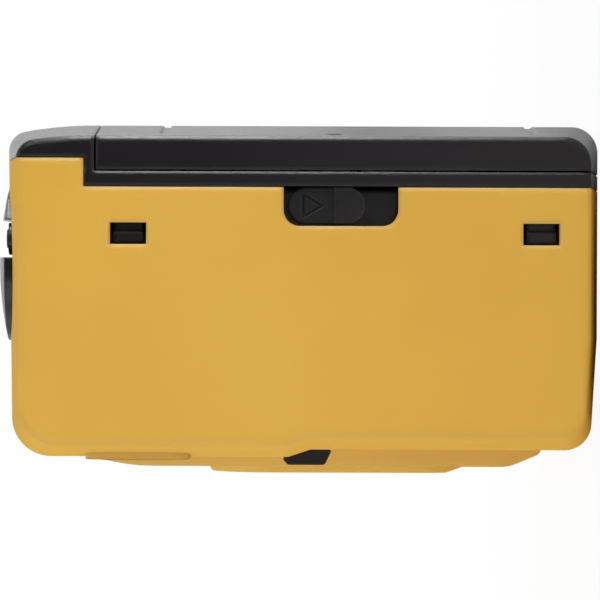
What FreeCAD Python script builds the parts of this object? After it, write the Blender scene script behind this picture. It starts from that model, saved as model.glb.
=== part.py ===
import FreeCAD, Part
import math
import os
from FreeCAD import Vector

os.makedirs("parts", exist_ok=True)

# Reusable 35 mm film camera with a fixed lens and a built-in flash. All sizes are millimetres.
# X runs along the width, with +X at the photographer's left. The lens looks along -Y. +Z is up.
# The origin is on the ground, under the middle of the camera.

# Outer form
width = 116.0
height = 63.0
back_y = 18.6
front_y = -16.0
front_step = 0.8
step_upper_z = 33.0
step_lower_z = 30.6
top_fall = 0.5
bottom_rise = 0.7
bottom_bend_y = -4.0
back_bend_z = 57.33
back_lean = 1.0
corner_back_bottom = 2.8
corner_back_top = 2.17
corner_front_top = 4.2
corner_front_bottom = 2.9
corner_back_bend = 42.0
smallest_corner = 0.3
end_taper = 1.63
end_taper_length = 13.0
end_edge = 0.6

# Shell, main body and door
shell_wall = 1.6
door_wall = 1.8
nest_gap = 0.3
seam_gap = 0.12
door_gap = 0.2
side_seam_y = 11.7
top_seam_y = 14.67
rim_width = 1.6
frame_front_y = 9.7
deck_z = 53.2
deck_thickness = 1.1
floor_thickness = 1.5
floor_half = 50.0
groove_low_z = 7.5
groove_high_z = 46.0
groove_width = 0.9
groove_depth = 0.2
nick_x = 55.6
nick_y = 18.62
nick_z = 28.3
nick_r = 1.6

# Optical axis and film
axis_z = 28.2
film_y = 13.6
rail_height = 0.3
rail_width = 0.9
rail_gap = 0.3
rail_length = 52.0
gate_width = 36.0
gate_height = 24.0
film_height = 35.0
tunnel_wall = 1.6
tunnel_front_y = -9.0
tunnel_mouth = 7.6
cone_flange = 2.0
cone_flange_thickness = 1.2

# Cassette chamber, on the rewind side
cassette_x = 41.0
cassette_y = 3.7
cassette_r = 12.8
chamber_wall = 1.2

# Take-up side
spool_x = -40.0
spool_y = 5.2
spool_room_r = 12.0
spool_hub_r = 6.5
spool_flange_r = 10.5
spool_flange = 1.0
spool_side_gap = 1.2
spool_slot = 1.4
spool_shaft_r = 2.4
bearing_gap = 0.08
end_float = 0.3
wheel_proud = 1.2
wheel_z = 55.7
wheel_thickness = 4.2
wheel_teeth = 60
wheel_tooth = 0.45
wheel_slot_gap = 0.5
wheel_rim = 2.6
wheel_hub_r = 4.6
wheel_dish = 1.4
pawl_foot = 3.0
pawl_thickness = 0.3
pawl_height = 2.2

# Sprocket and frame counter
sprocket_x = -22.5
sprocket_y = 6.6
sprocket_r = 5.4
sprocket_tooth = 0.9
sprocket_teeth = 8
sprocket_thickness = 1.8
sprocket_shaft_r = 1.5
perforation_offset = 15.0
counter_x = -15.0
counter_y = 6.6
counter_r = 5.4
counter_z = 59.6
counter_thickness = 0.7
counter_finger_r = 1.7
counter_hub_r = 1.7
counter_pin_r = 0.8
counter_hub = 1.2
counter_notch_r = 0.16
counter_notches = 40
counter_window_w = 5.6
counter_window_d = 4.2
counter_window_y = 2.9

# Battery: one small round cell, standing up, loaded from below
battery_x = -25.0
battery_y = -7.3
battery_r = 5.6
battery_wall = 0.9
battery_top_z = 50.6
cover_margin = 1.6
cover_side = 0.7
cover_gap = 0.25
cover_hinge_r = 0.9
cover_web = 0.35
cover_pin_r = 0.4
contact_thickness = 0.3
coil_turns = 3.0
coil_rise = 4.2
coil_wire_r = 0.25

# Latch in the end wall
latch_top_z = 33.52
latch_bottom_z = 21.6
latch_front_y = 7.68
latch_corner = 1.7
slider_top_z = 32.97
slider_bottom_z = 25.04
slider_front_y = 7.98
slider_back_y = 11.68
slider_inset = 0.75
slider_gap = 0.12
slider_strip = 1.2
thumb_height = 3.2
thumb_proud = 0.7
arrow_low_z = 29.29
arrow_high_z = 31.57
arrow_width = 2.6
arrow_line = 0.2
arrow_depth = 0.2
catch_width = 2.6
catch_gap = 0.5
latch_spring_depth = 2.2

# Snap windows in the end walls
snap_height = 3.78
snap_depth = 2.25
snap_front_y = 5.75
snap_offset = 21.45
snap_tongue = 0.9
snap_hook = 1.15
snap_side_gap = 0.35

# Rewind knob and crank
knob_r = 8.15
knob_dome = 0.95
knob_rim_z = 63.15
knob_bottom_z = 60.4
knob_gap = 0.3
knob_shaft_r = 2.0
knob_sleeve_r = 3.6
knob_lift = 5.0
fork_length = 4.0
fork_width = 3.4
crank_offset_y = 2.73
crank_channel = 4.0
crank_width = 3.4
crank_thickness = 0.8
crank_z = 62.4
crank_reach = 6.0
crank_pin_r = 0.45
finger_knob_r = 1.45
finger_knob_height = 1.1
finger_knob_inset = 0.5
finger_stem_r = 0.58
finger_head_r = 1.0
finger_head_rise = 0.2

# Shutter button and lever
button_x = -26.5
button_y = -9.0
button_r = 3.8
button_proud = 1.1
button_dish = 0.35
button_stem_r = 1.0
button_gap = 0.2
lever_x = -17.5
lever_y = -9.6
lever_z = 57.3
lever_thickness = 1.4
lever_height = 1.5
lever_short = 10.6
lever_long = 9.9
lever_finger_z = 41.5
lever_pin_r = 0.6
lever_ear = 0.9
lever_ear_width = 3.2
lever_ear_top = 1.4
lever_finger_width = 1.1
lever_hub_r = 1.3

# Lens and shutter
panel_half_width = 24.0
panel_top_z = 56.4
panel_bottom_z = 4.6
panel_crest_y = -18.75
panel_crest_top_z = 50.5
panel_crest_r = 20.0
panel_crest_low_z = 8.2
panel_top_rise = 0.7
panel_bottom_rise = 1.2
panel_side_draft = 1.6
plateau_half_width = 15.3
plateau_top = 13.7
plateau_bottom = 13.2
plateau_foot = 16.5
plateau_corner = 6.5
plateau_y = -19.8
plateau_draft = 4.0
bezel_r = 11.3
bezel_gap = 0.2
bezel_front_y = -19.45
bezel_flange = 0.9
bezel_flange_thickness = 1.0
bezel_back_y = -13.0
bezel_mouth_r = 9.3
lens_r = 4.6
lens_front_y = -17.4
lens_thickness = 2.4
lens_bulge = 0.6
lens_seat_gap = 0.05
lens_lip = 0.5
baffle_rings = 3
baffle_step = 1.1
baffle_drop = 0.45
retainer_wall = 1.1
retainer_length = 0.9
shutter_size = 24.0
shutter_corner = 3.0
shutter_plate_thickness = 1.0
aperture_r = 1.55
blade_thickness = 0.3
blade_lift = 0.4
blade_pivot_x = -6.6
blade_pivot_z = 6.4
blade_pin_r = 0.8
blade_end_r = 2.7

# Flash
flash_x = 37.5
flash_z = 49.0
flash_width = 22.0
flash_height = 8.0
flash_pad_margin = 1.5
flash_pad_y = -16.95
flash_window_thickness = 1.4
reflector_depth = 4.6
reflector_wall = 0.4
reflector_side = 1.3
flash_tube_r = 1.3
board_x0 = 28.0
board_x1 = 53.0
board_z0 = 3.5
board_z1 = 41.5
board_y = -12.0
board_thickness = 1.0
capacitor_x = 20.0
capacitor_y = -8.6
capacitor_r = 4.2
capacitor_z0 = 10.5
capacitor_z1 = 37.0
switch_x = 38.0
switch_z0 = 28.2
switch_z1 = 33.9
switch_width = 4.6
switch_proud = 1.85
switch_draft = 0.85
switch_gap = 0.1
switch_travel = 3.2
switch_slot_width = 2.2
switch_stem_height = 3.2
switch_ribs = 3
switch_rib_pitch = 1.3
switch_rib_depth = 0.35
lamp_x = 15.0
lamp_r = 1.5

# Viewfinder
finder_x = 2.0
finder_z = 58.1
finder_width = 9.6
finder_height = 5.2
finder_frame = 1.3
finder_front_y = -17.3
finder_lens = 1.2
finder_lens_curve = 22.0
eyepiece_curve = 30.0
eyepiece_thickness = 1.0
eyepiece_width = 8.0
eyepiece_height = 5.0

# Door hinge
hinge_x = -53.0
hinge_y = 15.75
hinge_r = 1.75
hinge_gap = 0.3
hinge_pin_r = 0.75
hinge_low_z = 9.0
hinge_high_z = 44.0

# Pressure plate
plate_width = 46.0
plate_height = 33.0
plate_thickness = 0.8
plate_gap = 0.3
plate_spring = 0.25
plate_spring_reach = 14.0
plate_spring_width = 8.0

# Rewind release
release_r = 2.6
release_sunk = 0.3
release_travel = 0.9
release_flange = 0.8
release_stem_r = 1.2
release_room = 0.3

# Screws and strap bar
screw_x = 15.0
screw_low_z = 6.9
screw_high_z = 49.5
screw_r = 0.95
screw_head_r = 1.9
screw_head = 1.2
screw_length = 8.0
screw_slot = 0.4
post_r = 2.2
strap_z = 40.5
strap_y = -5.0
strap_length = 9.0
strap_reach = 6.4
strap_depth = 5.0
strap_bar_r = 0.9
strap_bar_inset = 1.5
strap_wall = 1.0

# Sizes worked out from the driving ones
half_width = width / 2
far = width
deck_top_z = deck_z + deck_thickness
rim_y = side_seam_y + rim_width
door_front_y = rim_y + door_gap
door_top_z = deck_z - door_gap
chamber_floor_z = shell_wall + nest_gap + floor_thickness
inner_end = half_width - shell_wall
floor_back_x = inner_end - slider_inset - 1.0
latch_y = (slider_front_y + slider_back_y) / 2
lens_seat_y = lens_front_y + 0.3
reflector_y = flash_pad_y + flash_window_thickness + 0.1
finger_x = cassette_x + crank_reach - finger_knob_inset
front_top_y = front_y - front_step
fork_z = deck_z - fork_length - knob_lift - end_float
sprocket_low_z = chamber_floor_z + 1.9


def block(x0, x1, y0, y1, z0, z1):
    """Box between two corners."""
    return Part.makeBox(x1 - x0, y1 - y0, z1 - z0, Vector(x0, y0, z0))


def rod(axis, a, b, r, start, end):
    """Cylinder along an axis; a and b are its place on the other two axes, in X, Y, Z order."""
    length = end - start
    if axis == "x":
        return Part.makeCylinder(r, length, Vector(start, a, b), Vector(1, 0, 0))
    if axis == "y":
        return Part.makeCylinder(r, length, Vector(a, start, b), Vector(0, 1, 0))
    return Part.makeCylinder(r, length, Vector(a, b, start), Vector(0, 0, 1))


def cone_y(x, z, r_front, r_back, front, back):
    """Cone along Y from a front radius to a back radius."""
    return Part.makeCone(r_front, r_back, back - front, Vector(x, front, z), Vector(0, 1, 0))


def tube(axis, a, b, r_out, r_in, start, end):
    """Hollow cylinder along an axis."""
    return rod(axis, a, b, r_out, start, end).cut(rod(axis, a, b, r_in, start, end))


def fuse_all(shapes):
    """One shape from many, with split faces joined again."""
    result = shapes[0]
    for shape in shapes[1:]:
        result = result.fuse(shape)
    return result.removeSplitter()


def cut_all(shape, tools):
    """A shape with every tool cut from it."""
    for tool in tools:
        shape = shape.cut(tool)
    return shape


def soft_block(x0, x1, y0, y1, z0, z1, axis, radius):
    """Box whose four edges along one axis are rounded."""
    shape = block(x0, x1, y0, y1, z0, z1)
    edges = []
    for edge in shape.Edges:
        run = edge.Vertexes[1].Point.sub(edge.Vertexes[0].Point)
        along = {"x": abs(run.x), "y": abs(run.y), "z": abs(run.z)}[axis]
        if along > 0.9 * run.Length:
            edges.append(edge)
    return shape.makeFillet(radius, edges)


def rounded_outline(corners, place, inset):
    """Closed wire through corners (a, b, radius), moved inward by inset; place makes a 3-D point."""
    count = len(corners)
    lines = []
    for i in range(count):
        a0, b0 = corners[i][0], corners[i][1]
        a1, b1 = corners[(i + 1) % count][0], corners[(i + 1) % count][1]
        run = math.hypot(a1 - a0, b1 - b0)
        ua, ub = (a1 - a0) / run, (b1 - b0) / run
        lines.append((a0 - ub * inset, b0 + ua * inset, ua, ub))
    ends = []
    for i in range(count):
        a0, b0, ua, ub = lines[i - 1]
        a1, b1, va, vb = lines[i]
        cross = ua * vb - ub * va
        step = ((a1 - a0) * vb - (b1 - b0) * va) / cross
        ca, cb = a0 + ua * step, b0 + ub * step
        side = 1 if cross > 0 else -1
        radius = max(corners[i][2] - side * inset, smallest_corner)
        turn = abs(math.atan2(cross, ua * va + ub * vb))
        tangent = radius * math.tan(turn / 2)
        na, nb = (va - ua), (vb - ub)
        size = math.hypot(na, nb)
        reach = radius / math.cos(turn / 2) - radius
        mid = (ca + na / size * reach, cb + nb / size * reach)
        ends.append(((ca - ua * tangent, cb - ub * tangent), mid, (ca + va * tangent, cb + vb * tangent)))
    edges = []
    for i in range(count):
        start, mid, end = ends[i]
        edges.append(Part.Arc(place(*start), place(*mid), place(*end)).toShape())
        following = ends[(i + 1) % count][0]
        edges.append(Part.makeLine(place(*end), place(*following)))
    return Part.Wire(edges)


def body_corners():
    """Corners of the camera's section across its width: place along Y, place along Z, radius."""
    return [
        (back_y, 0.0, corner_back_bottom),
        (back_y, back_bend_z, corner_back_bend),
        (back_y - back_lean, height, corner_back_top),
        (front_top_y, height - top_fall, corner_front_top),
        (front_top_y, step_upper_z, 0),
        (front_y, step_lower_z, 0),
        (front_y, bottom_rise, corner_front_bottom),
        (bottom_bend_y, 0.0, 0),
    ]


def section_points(x, inset):
    """Corner points of the section at a place x, drawn in by an inset."""
    corners = body_corners()
    sides = []
    for i, (a0, b0, _) in enumerate(corners):
        a1, b1, _ = corners[(i + 1) % len(corners)]
        run = math.hypot(a1 - a0, b1 - b0)
        ua, ub = (a1 - a0) / run, (b1 - b0) / run
        sides.append((a0 - ub * inset, b0 + ua * inset, ua, ub))
    points = []
    for i, (a1, b1, va, vb) in enumerate(sides):
        a0, b0, ua, ub = sides[i - 1]
        step = ((a1 - a0) * vb - (b1 - b0) * va) / (ua * vb - ub * va)
        points.append(Vector(x, a0 + ua * step, b0 + ub * step))
    return points


def edges_along(shape, start, end):
    """Edges of a shape that lie on the line between two points."""
    line = Part.makeLine(start, end)
    found = []
    for edge in shape.Edges:
        ends = [Part.Vertex(v.Point) for v in edge.Vertexes]
        if len(ends) == 2 and all(line.distToShape(v)[0] < 0.02 for v in ends):
            found.append(edge)
    return found


def body_form(inset):
    """The whole camera as one solid: straight in the middle, tapered and rounded at both ends."""
    end = half_width - inset
    shoulder = half_width - end_taper_length
    stations = [(-end, end_taper), (-shoulder, 0.0), (shoulder, 0.0), (end, end_taper)]
    rings = [section_points(x, inset + drawn) for x, drawn in stations]
    form = Part.makeLoft([Part.makePolygon(ring + ring[:1]) for ring in rings], True, True)
    for i, (_, _, radius) in enumerate(body_corners()):
        if radius == 0:
            continue
        edges = []
        for near, next_ring in zip(rings, rings[1:]):
            edges += edges_along(form, near[i], next_ring[i])
        form = form.makeFillet(max(radius - inset, smallest_corner), edges)
    if inset == 0:
        flat = [e for e in form.Edges if e.BoundBox.XLength < 1e-2]
        edges = [e for e in flat if abs(abs(e.CenterOfMass.x) - end) < 1e-3]
        form = form.makeFillet(end_edge, edges)
    return form


outer = body_form(0)
shell_inside = body_form(shell_wall)
nest = body_form(shell_wall + nest_gap)
door_inside = body_form(door_wall)


def rear_region(gap):
    """What lies behind the seam of the front shell, from a gap behind it."""
    lower = block(-far, far, side_seam_y + gap, far, -far, deck_top_z - gap)
    upper = block(-far, far, top_seam_y + gap, far, deck_top_z - 1, far)
    return lower.fuse(upper)


def front_panel(grow):
    """Raised panel on the front with a low crest; grow is negative for its hollow inside."""
    base_y = front_y + shell_wall - 3 * grow
    corners = [
        (base_y, panel_bottom_z - grow, 0.5),
        (base_y, panel_top_z + grow, 0.5),
        (front_top_y - panel_top_rise - grow, panel_top_z + grow, 1.2),
        (panel_crest_y - grow, panel_crest_top_z, panel_crest_r),
        (panel_crest_y - grow, panel_crest_low_z, 4.0),
        (front_y - panel_bottom_rise - grow, panel_bottom_z - grow, 1.0),
    ]
    half = panel_half_width + grow
    profile = rounded_outline(corners, lambda y, z: Vector(-half, y, z), 0)
    panel = Part.Face(profile).extrude(Vector(2 * half, 0, 0))
    for side in (-1, 1):
        front, back = panel_crest_y - grow - 1, base_y + 1
        near, wide = side * (half - panel_side_draft), side * (half + panel_side_draft)
        points = [
            Vector(near, front, -1), Vector(wide, back, -1),
            Vector(side * far, back, -1), Vector(side * far, front, -1),
        ]
        wedge = Part.Face(Part.makePolygon(points + points[:1])).extrude(Vector(0, 0, far))
        panel = panel.cut(wedge)
    return panel


def lens_plateau(grow):
    """Raised square around the lens with sloped sides and a longer slope at its foot."""
    radius = plateau_corner + grow
    foot_z = axis_z - plateau_foot - grow
    wires = []
    for y, side in ((front_y + shell_wall, plateau_draft), (plateau_y - grow, 0.0)):
        w = plateau_half_width + grow + side
        top = axis_z + plateau_top + grow + side
        outline = [(-w, foot_z, radius), (w, foot_z, radius), (w, top, radius), (-w, top, radius)]
        wires.append(rounded_outline(outline, lambda x, z, y=y: Vector(x, y, z), 0))
    plateau = Part.makeLoft(wires, True, True)
    edge_y, edge_z = plateau_y - grow, axis_z - plateau_bottom - grow
    run_y, run_z = panel_crest_y - plateau_y, plateau_bottom - plateau_foot
    points = [
        Vector(-far, edge_y - run_y, edge_z - run_z), Vector(-far, edge_y + 2 * run_y, edge_z + 2 * run_z),
        Vector(-far, edge_y - far, edge_z + 2 * run_z), Vector(-far, edge_y - far, edge_z - run_z),
    ]
    wedge = Part.Face(Part.makePolygon(points + points[:1])).extrude(Vector(2 * far, 0, 0))
    return plateau.cut(wedge)


def flash_pad():
    """Low pad on the front that frames the flash window."""
    w = flash_width / 2 + flash_pad_margin
    h = flash_height / 2 + flash_pad_margin
    return soft_block(
        flash_x - w, flash_x + w, flash_pad_y, front_y + shell_wall, flash_z - h, flash_z + h, "y", 2.0
    )


def post_places():
    """Places of the screw posts on the front."""
    return [(sx * screw_x, z) for sx in (-1, 1) for z in (screw_low_z, screw_high_z)]


def screw_posts():
    """Posts inside the front shell that the body screws bite into."""
    tip = frame_front_y - seam_gap
    posts = []
    for x, z in post_places():
        posts.append(rod("y", x, z, post_r, panel_crest_y + 0.4, tip))
    return posts


def screw_holes():
    """Blind holes in the posts."""
    tip = frame_front_y
    depth = screw_length + 1
    return [rod("y", x, z, screw_r + bearing_gap / 2, tip - depth, tip) for x, z in post_places()]


def snap_places():
    """Sides and heights of the snap windows."""
    return [(side, axis_z + turn * snap_offset) for side in (-1, 1) for turn in (-1, 1)]


def snap_windows():
    """Rectangular windows through both end walls."""
    windows = []
    for side, z in snap_places():
        x0, x1 = sorted((side * (inner_end - 2), side * far))
        z0, z1 = z - snap_height / 2, z + snap_height / 2
        windows.append(block(x0, x1, snap_front_y, snap_front_y + snap_depth, z0, z1))
    return windows


def latch_notch():
    """Notch in the end wall, open to the seam, with rounded lower corners."""
    notch = block(inner_end - 2, far, latch_front_y, far, latch_bottom_z, latch_top_z)
    edges = []
    for edge in notch.Edges:
        box = edge.BoundBox
        if abs(box.YMax - latch_front_y) < 0.01 and box.XLength > 1:
            edges.append(edge)
    return notch.makeFillet(latch_corner, edges)


def finder_opening():
    """Window for the viewfinder frame in the front shell."""
    w = finder_width / 2 + finder_frame
    h = finder_height / 2 + finder_frame
    return soft_block(
        finder_x - w, finder_x + w, finder_front_y - 2, front_y + 3, finder_z - h, finder_z + h, "y", 1.2
    )


def battery_opening(grow):
    """Mouth of the battery compartment in the bottom of the shell."""
    half = battery_r + cover_margin + grow
    return block(
        battery_x - half, battery_x + half, battery_y - battery_r - cover_side - grow,
        battery_y + battery_r + cover_side + grow, -1, shell_wall + 1,
    )


def cover_hinge_place():
    """Place of the battery cover's hinge axis, in X and Z."""
    return battery_x - battery_r - cover_margin - cover_hinge_r, cover_hinge_r


def cover_barrel(grow):
    """Round edge of the battery cover about its hinge axis."""
    x, z = cover_hinge_place()
    y0 = battery_y - battery_r - cover_side - grow
    y1 = battery_y + battery_r + cover_side + grow
    return rod("y", x, z, cover_hinge_r + grow, y0, y1)


def strap_pocket(grow):
    """Pocket in the far end wall, behind the strap bar."""
    x1 = -half_width + strap_depth + grow
    return block(
        -far, x1, strap_y - strap_reach / 2 - grow, strap_y + strap_reach / 2 + grow,
        strap_z - strap_length / 2 - grow, strap_z + strap_length / 2 + grow,
    )


def make_front_shell():
    """Yellow shell: front, top, bottom and both ends in one moulding."""
    raised = fuse_all([outer, front_panel(0), lens_plateau(0), flash_pad()])
    hollow = fuse_all([shell_inside, front_panel(-shell_wall), lens_plateau(-shell_wall)])
    shell = raised.cut(hollow).cut(rear_region(0))
    pocket = strap_pocket(strap_wall).common(outer)
    shell = fuse_all([shell, pocket] + [post.common(raised) for post in screw_posts()])
    finder_back = block(-far, far, top_seam_y, far, -far, far)
    cuts = [finder_back, strap_pocket(0), latch_notch(), finder_opening(), wheel_room()]
    cuts += snap_windows() + screw_holes()
    cuts.append(rod("y", 0, axis_z, bezel_r + bezel_gap, plateau_y - 1, front_y + 4))
    cuts.append(rod("z", cassette_x, cassette_y, knob_r + knob_gap, deck_top_z, far))
    cuts.append(rod("z", button_x, button_y, button_r + button_gap, height - 2 * shell_wall, far))
    cuts.append(rod("z", sprocket_x, sprocket_y, release_r + button_gap, -1, shell_wall + 1))
    cuts.append(battery_opening(cover_gap))
    cuts.append(cover_barrel(cover_gap))
    w, d = counter_window_w / 2, counter_window_d / 2
    cuts.append(block(
        counter_x - w, counter_x + w, counter_window_y - d, counter_window_y + d,
        height - 2 * shell_wall, far,
    ))
    w, h = flash_width / 2, flash_height / 2
    cuts.append(soft_block(
        flash_x - w, flash_x + w, flash_pad_y - 2, front_y + 3, flash_z - h, flash_z + h, "y", 1.0
    ))
    slot = switch_slot_width / 2 + knob_gap
    low, high = switch_stem()
    cuts.append(block(
        switch_x - slot, switch_x + slot, front_top_y - 1, front_y + 3,
        low - knob_gap - switch_travel, high + knob_gap,
    ))
    return cut_all(shell, cuts)


def make_tunnel():
    """Light cone from the shutter to the film gate, as an outer and an inner pyramid."""
    def frustum(mouth, gate_w, gate_h, front, back):
        wires = []
        for y, w, h in ((front, mouth, mouth), (back, gate_w, gate_h)):
            points = [
                Vector(-w / 2, y, axis_z - h / 2), Vector(w / 2, y, axis_z - h / 2),
                Vector(w / 2, y, axis_z + h / 2), Vector(-w / 2, y, axis_z + h / 2),
            ]
            wires.append(Part.makePolygon(points + points[:1]))
        return Part.makeLoft(wires, True, True)
    wide = 2 * tunnel_wall
    outside = frustum(tunnel_mouth + wide, gate_width + wide, gate_height + wide, tunnel_front_y, rim_y)
    inside = frustum(tunnel_mouth, gate_width, gate_height, tunnel_front_y - 1, rim_y + 1)
    return outside, inside


def film_rails():
    """Two pairs of rails that hold the film flat at the gate."""
    rails = []
    for side in (-1, 1):
        for offset in (gate_height / 2 + rail_width / 2 + rail_gap, film_height / 2 + rail_width):
            z = axis_z + side * offset
            rails.append(block(
                -rail_length / 2, rail_length / 2, rim_y, rim_y + rail_height,
                z - rail_width / 2, z + rail_width / 2,
            ))
    return rails


def rear_cap():
    """Fixed black strip above the door, hollow behind its wall, with the deck's edge under it."""
    cap = outer.common(rear_region(seam_gap)).common(block(-far, far, rim_y, far, deck_z, far))
    hollow = door_inside.common(block(-far, far, 0, far, deck_top_z, far))
    cap = cap.cut(hollow)
    w, h = eyepiece_width / 2, eyepiece_height / 2
    eye = soft_block(
        finder_x - w, finder_x + w, top_seam_y, far, finder_z - h, finder_z + h, "y", 0.8
    )
    lamp = rod("y", lamp_x, finder_z, lamp_r + bezel_gap / 2, top_seam_y, far)
    return cut_all(cap, [wheel_room(), eye, lamp])


def wheel_radius():
    """Advance wheel's radius: it stands a little out of the back."""
    return back_y + wheel_proud - spool_y


def wheel_room():
    """Round room that the advance wheel turns in; it breaks through the back as a slot."""
    return rod("z", spool_x, spool_y, wheel_radius() + wheel_slot_gap,
               wheel_z - wheel_slot_gap, wheel_z + wheel_thickness + wheel_slot_gap)


def hinge_column():
    """Fixed black edge beyond the hinge, with the knuckles that hold the hinge pin."""
    edge_x = hinge_x - hinge_r - hinge_gap
    column = outer.common(block(-far, edge_x, rim_y - 0.1, far, 0, deck_z + 0.1))
    room = rod("z", hinge_x, hinge_y, hinge_r + hinge_gap, -1, far)
    column = column.cut(room)
    knuckles = []
    for z0, z1 in ((chamber_floor_z, hinge_low_z - hinge_gap), (hinge_high_z + hinge_gap, deck_z)):
        knuckle = rod("z", hinge_x, hinge_y, hinge_r, z0, z1)
        root = block(edge_x - 0.5, hinge_x, rim_y - 0.1, hinge_y - 0.4, z0, z1)
        web = root.common(outer)
        knuckles.append(knuckle.fuse(web))
    pin = rod("z", hinge_x, hinge_y, hinge_pin_r + bearing_gap / 4, chamber_floor_z - 1, deck_z + 1)
    return fuse_all([column] + knuckles).cut(pin)


def snap_tongues():
    """Springy tongues with hooks that show in the snap windows."""
    tongues = []
    outer_x = inner_end - nest_gap
    hook = shell_wall - 0.5
    for side, z in snap_places():
        x0, x1 = sorted((side * (outer_x - snap_tongue), side * outer_x))
        half = snap_height / 2 - snap_side_gap
        tongues.append(block(x0, x1, snap_front_y - 0.6, side_seam_y + 0.3, z - half, z + half))
        x0, x1 = sorted((side * (outer_x - 0.1), side * (outer_x + hook)))
        hook_y = snap_front_y + 0.2
        tongues.append(block(x0, x1, hook_y, hook_y + snap_hook, z - half, z + half))
    return tongues


def latch_floor():
    """Wall behind the latch slider."""
    x1 = inner_end - slider_inset
    return block(
        floor_back_x - 0.4, x1, latch_front_y - 2.2, side_seam_y + 0.3,
        latch_bottom_z - 2.5, latch_top_z + 2.5,
    )


def latch_pocket():
    """Room in the rim for the latch nose and the door's catch, behind the visible rim."""
    return block(
        floor_back_x - 2.2, inner_end - 0.05, side_seam_y - 0.3, far,
        latch_bottom_z - 0.3, latch_top_z + 0.8,
    )


def sprocket_rooms():
    """Rooms that the sprocket shaft and its two toothed wheels turn in."""
    rooms = [rod("z", sprocket_x, sprocket_y, sprocket_shaft_r + bearing_gap, chamber_floor_z + 1.4, far)]
    reach = sprocket_r + sprocket_tooth + 0.6
    for side in (-1, 1):
        z = axis_z + side * perforation_offset
        t = sprocket_thickness / 2 + 0.5
        rooms.append(rod("z", sprocket_x, sprocket_y, reach, z - t, z + t))
        rooms.append(block(
            sprocket_x - reach, sprocket_x + reach, sprocket_y, far, z - t, z + t,
        ))
    return rooms


def cassette_room(top):
    """Room of the film cassette, open to the back."""
    room = rod("z", cassette_x, cassette_y, cassette_r, chamber_floor_z, deck_z)
    return room.fuse(block(
        cassette_x - cassette_r, cassette_x + cassette_r, cassette_y, far, chamber_floor_z, top,
    ))


def take_up_room():
    """Room of the take-up spool, open to the back."""
    room = rod("z", spool_x, spool_y, spool_room_r, chamber_floor_z, deck_z)
    return room.fuse(block(
        spool_x - spool_room_r, spool_x + spool_room_r, spool_y, rim_y + 0.05, chamber_floor_z, deck_z,
    ))


def chamber_outside(x, y, r):
    """Outside of a round chamber between floor and deck, in front of the frame."""
    shape = rod("z", x, y, r + chamber_wall, chamber_floor_z, deck_z)
    return shape.common(block(-far, far, -far, frame_front_y, 0, far)).common(nest)


def make_cassette_chamber():
    """Round wall of the film cassette's chamber."""
    wall = chamber_outside(cassette_x, cassette_y, cassette_r)
    return cut_all(wall, [cassette_room(deck_z), latch_floor()])


def make_take_up_chamber():
    """Round wall of the take-up spool's chamber."""
    wall = chamber_outside(spool_x, spool_y, spool_room_r)
    return cut_all(wall, [take_up_room(), strap_pocket(strap_wall + nest_gap)] + sprocket_rooms())


def make_battery_holder():
    """Tube for the battery, closed at the top."""
    tube_outside = rod("z", battery_x, battery_y, battery_r + battery_wall, chamber_floor_z, deck_z)
    tube_inside = rod("z", battery_x, battery_y, battery_r, 0, battery_top_z)
    spool_side = rod("z", spool_x, spool_y, spool_room_r + chamber_wall, 0, far)
    return cut_all(tube_outside, [tube_inside, spool_side])


def make_light_cone():
    """Light cone from the shutter's seat to a flange on the frame."""
    tunnel_out, tunnel_in = make_tunnel()
    in_front = block(-far, far, -far, frame_front_y, 0, far)
    half = shutter_size / 2
    seat = soft_block(
        -half, half, tunnel_front_y - 1, tunnel_front_y, axis_z - half, axis_z + half, "y", shutter_corner
    )
    share = (frame_front_y - tunnel_front_y) / (rim_y - tunnel_front_y)
    mouth = tunnel_mouth / 2 + tunnel_wall
    w = mouth + (gate_width / 2 + tunnel_wall - mouth) * share + cone_flange
    h = mouth + (gate_height / 2 + tunnel_wall - mouth) * share + cone_flange
    flange = soft_block(
        -w, w, frame_front_y - cone_flange_thickness, frame_front_y, axis_z - h, axis_z + h, "y", 1.5
    )
    pivot_x, pivot_z = blade_place()
    stud = rod("y", pivot_x, pivot_z, blade_pin_r, tunnel_front_y - 1, tunnel_front_y)
    cone = fuse_all([tunnel_out.common(in_front), seat, flange])
    return cut_all(cone, [tunnel_in] + sprocket_rooms()).fuse(stud)


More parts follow.
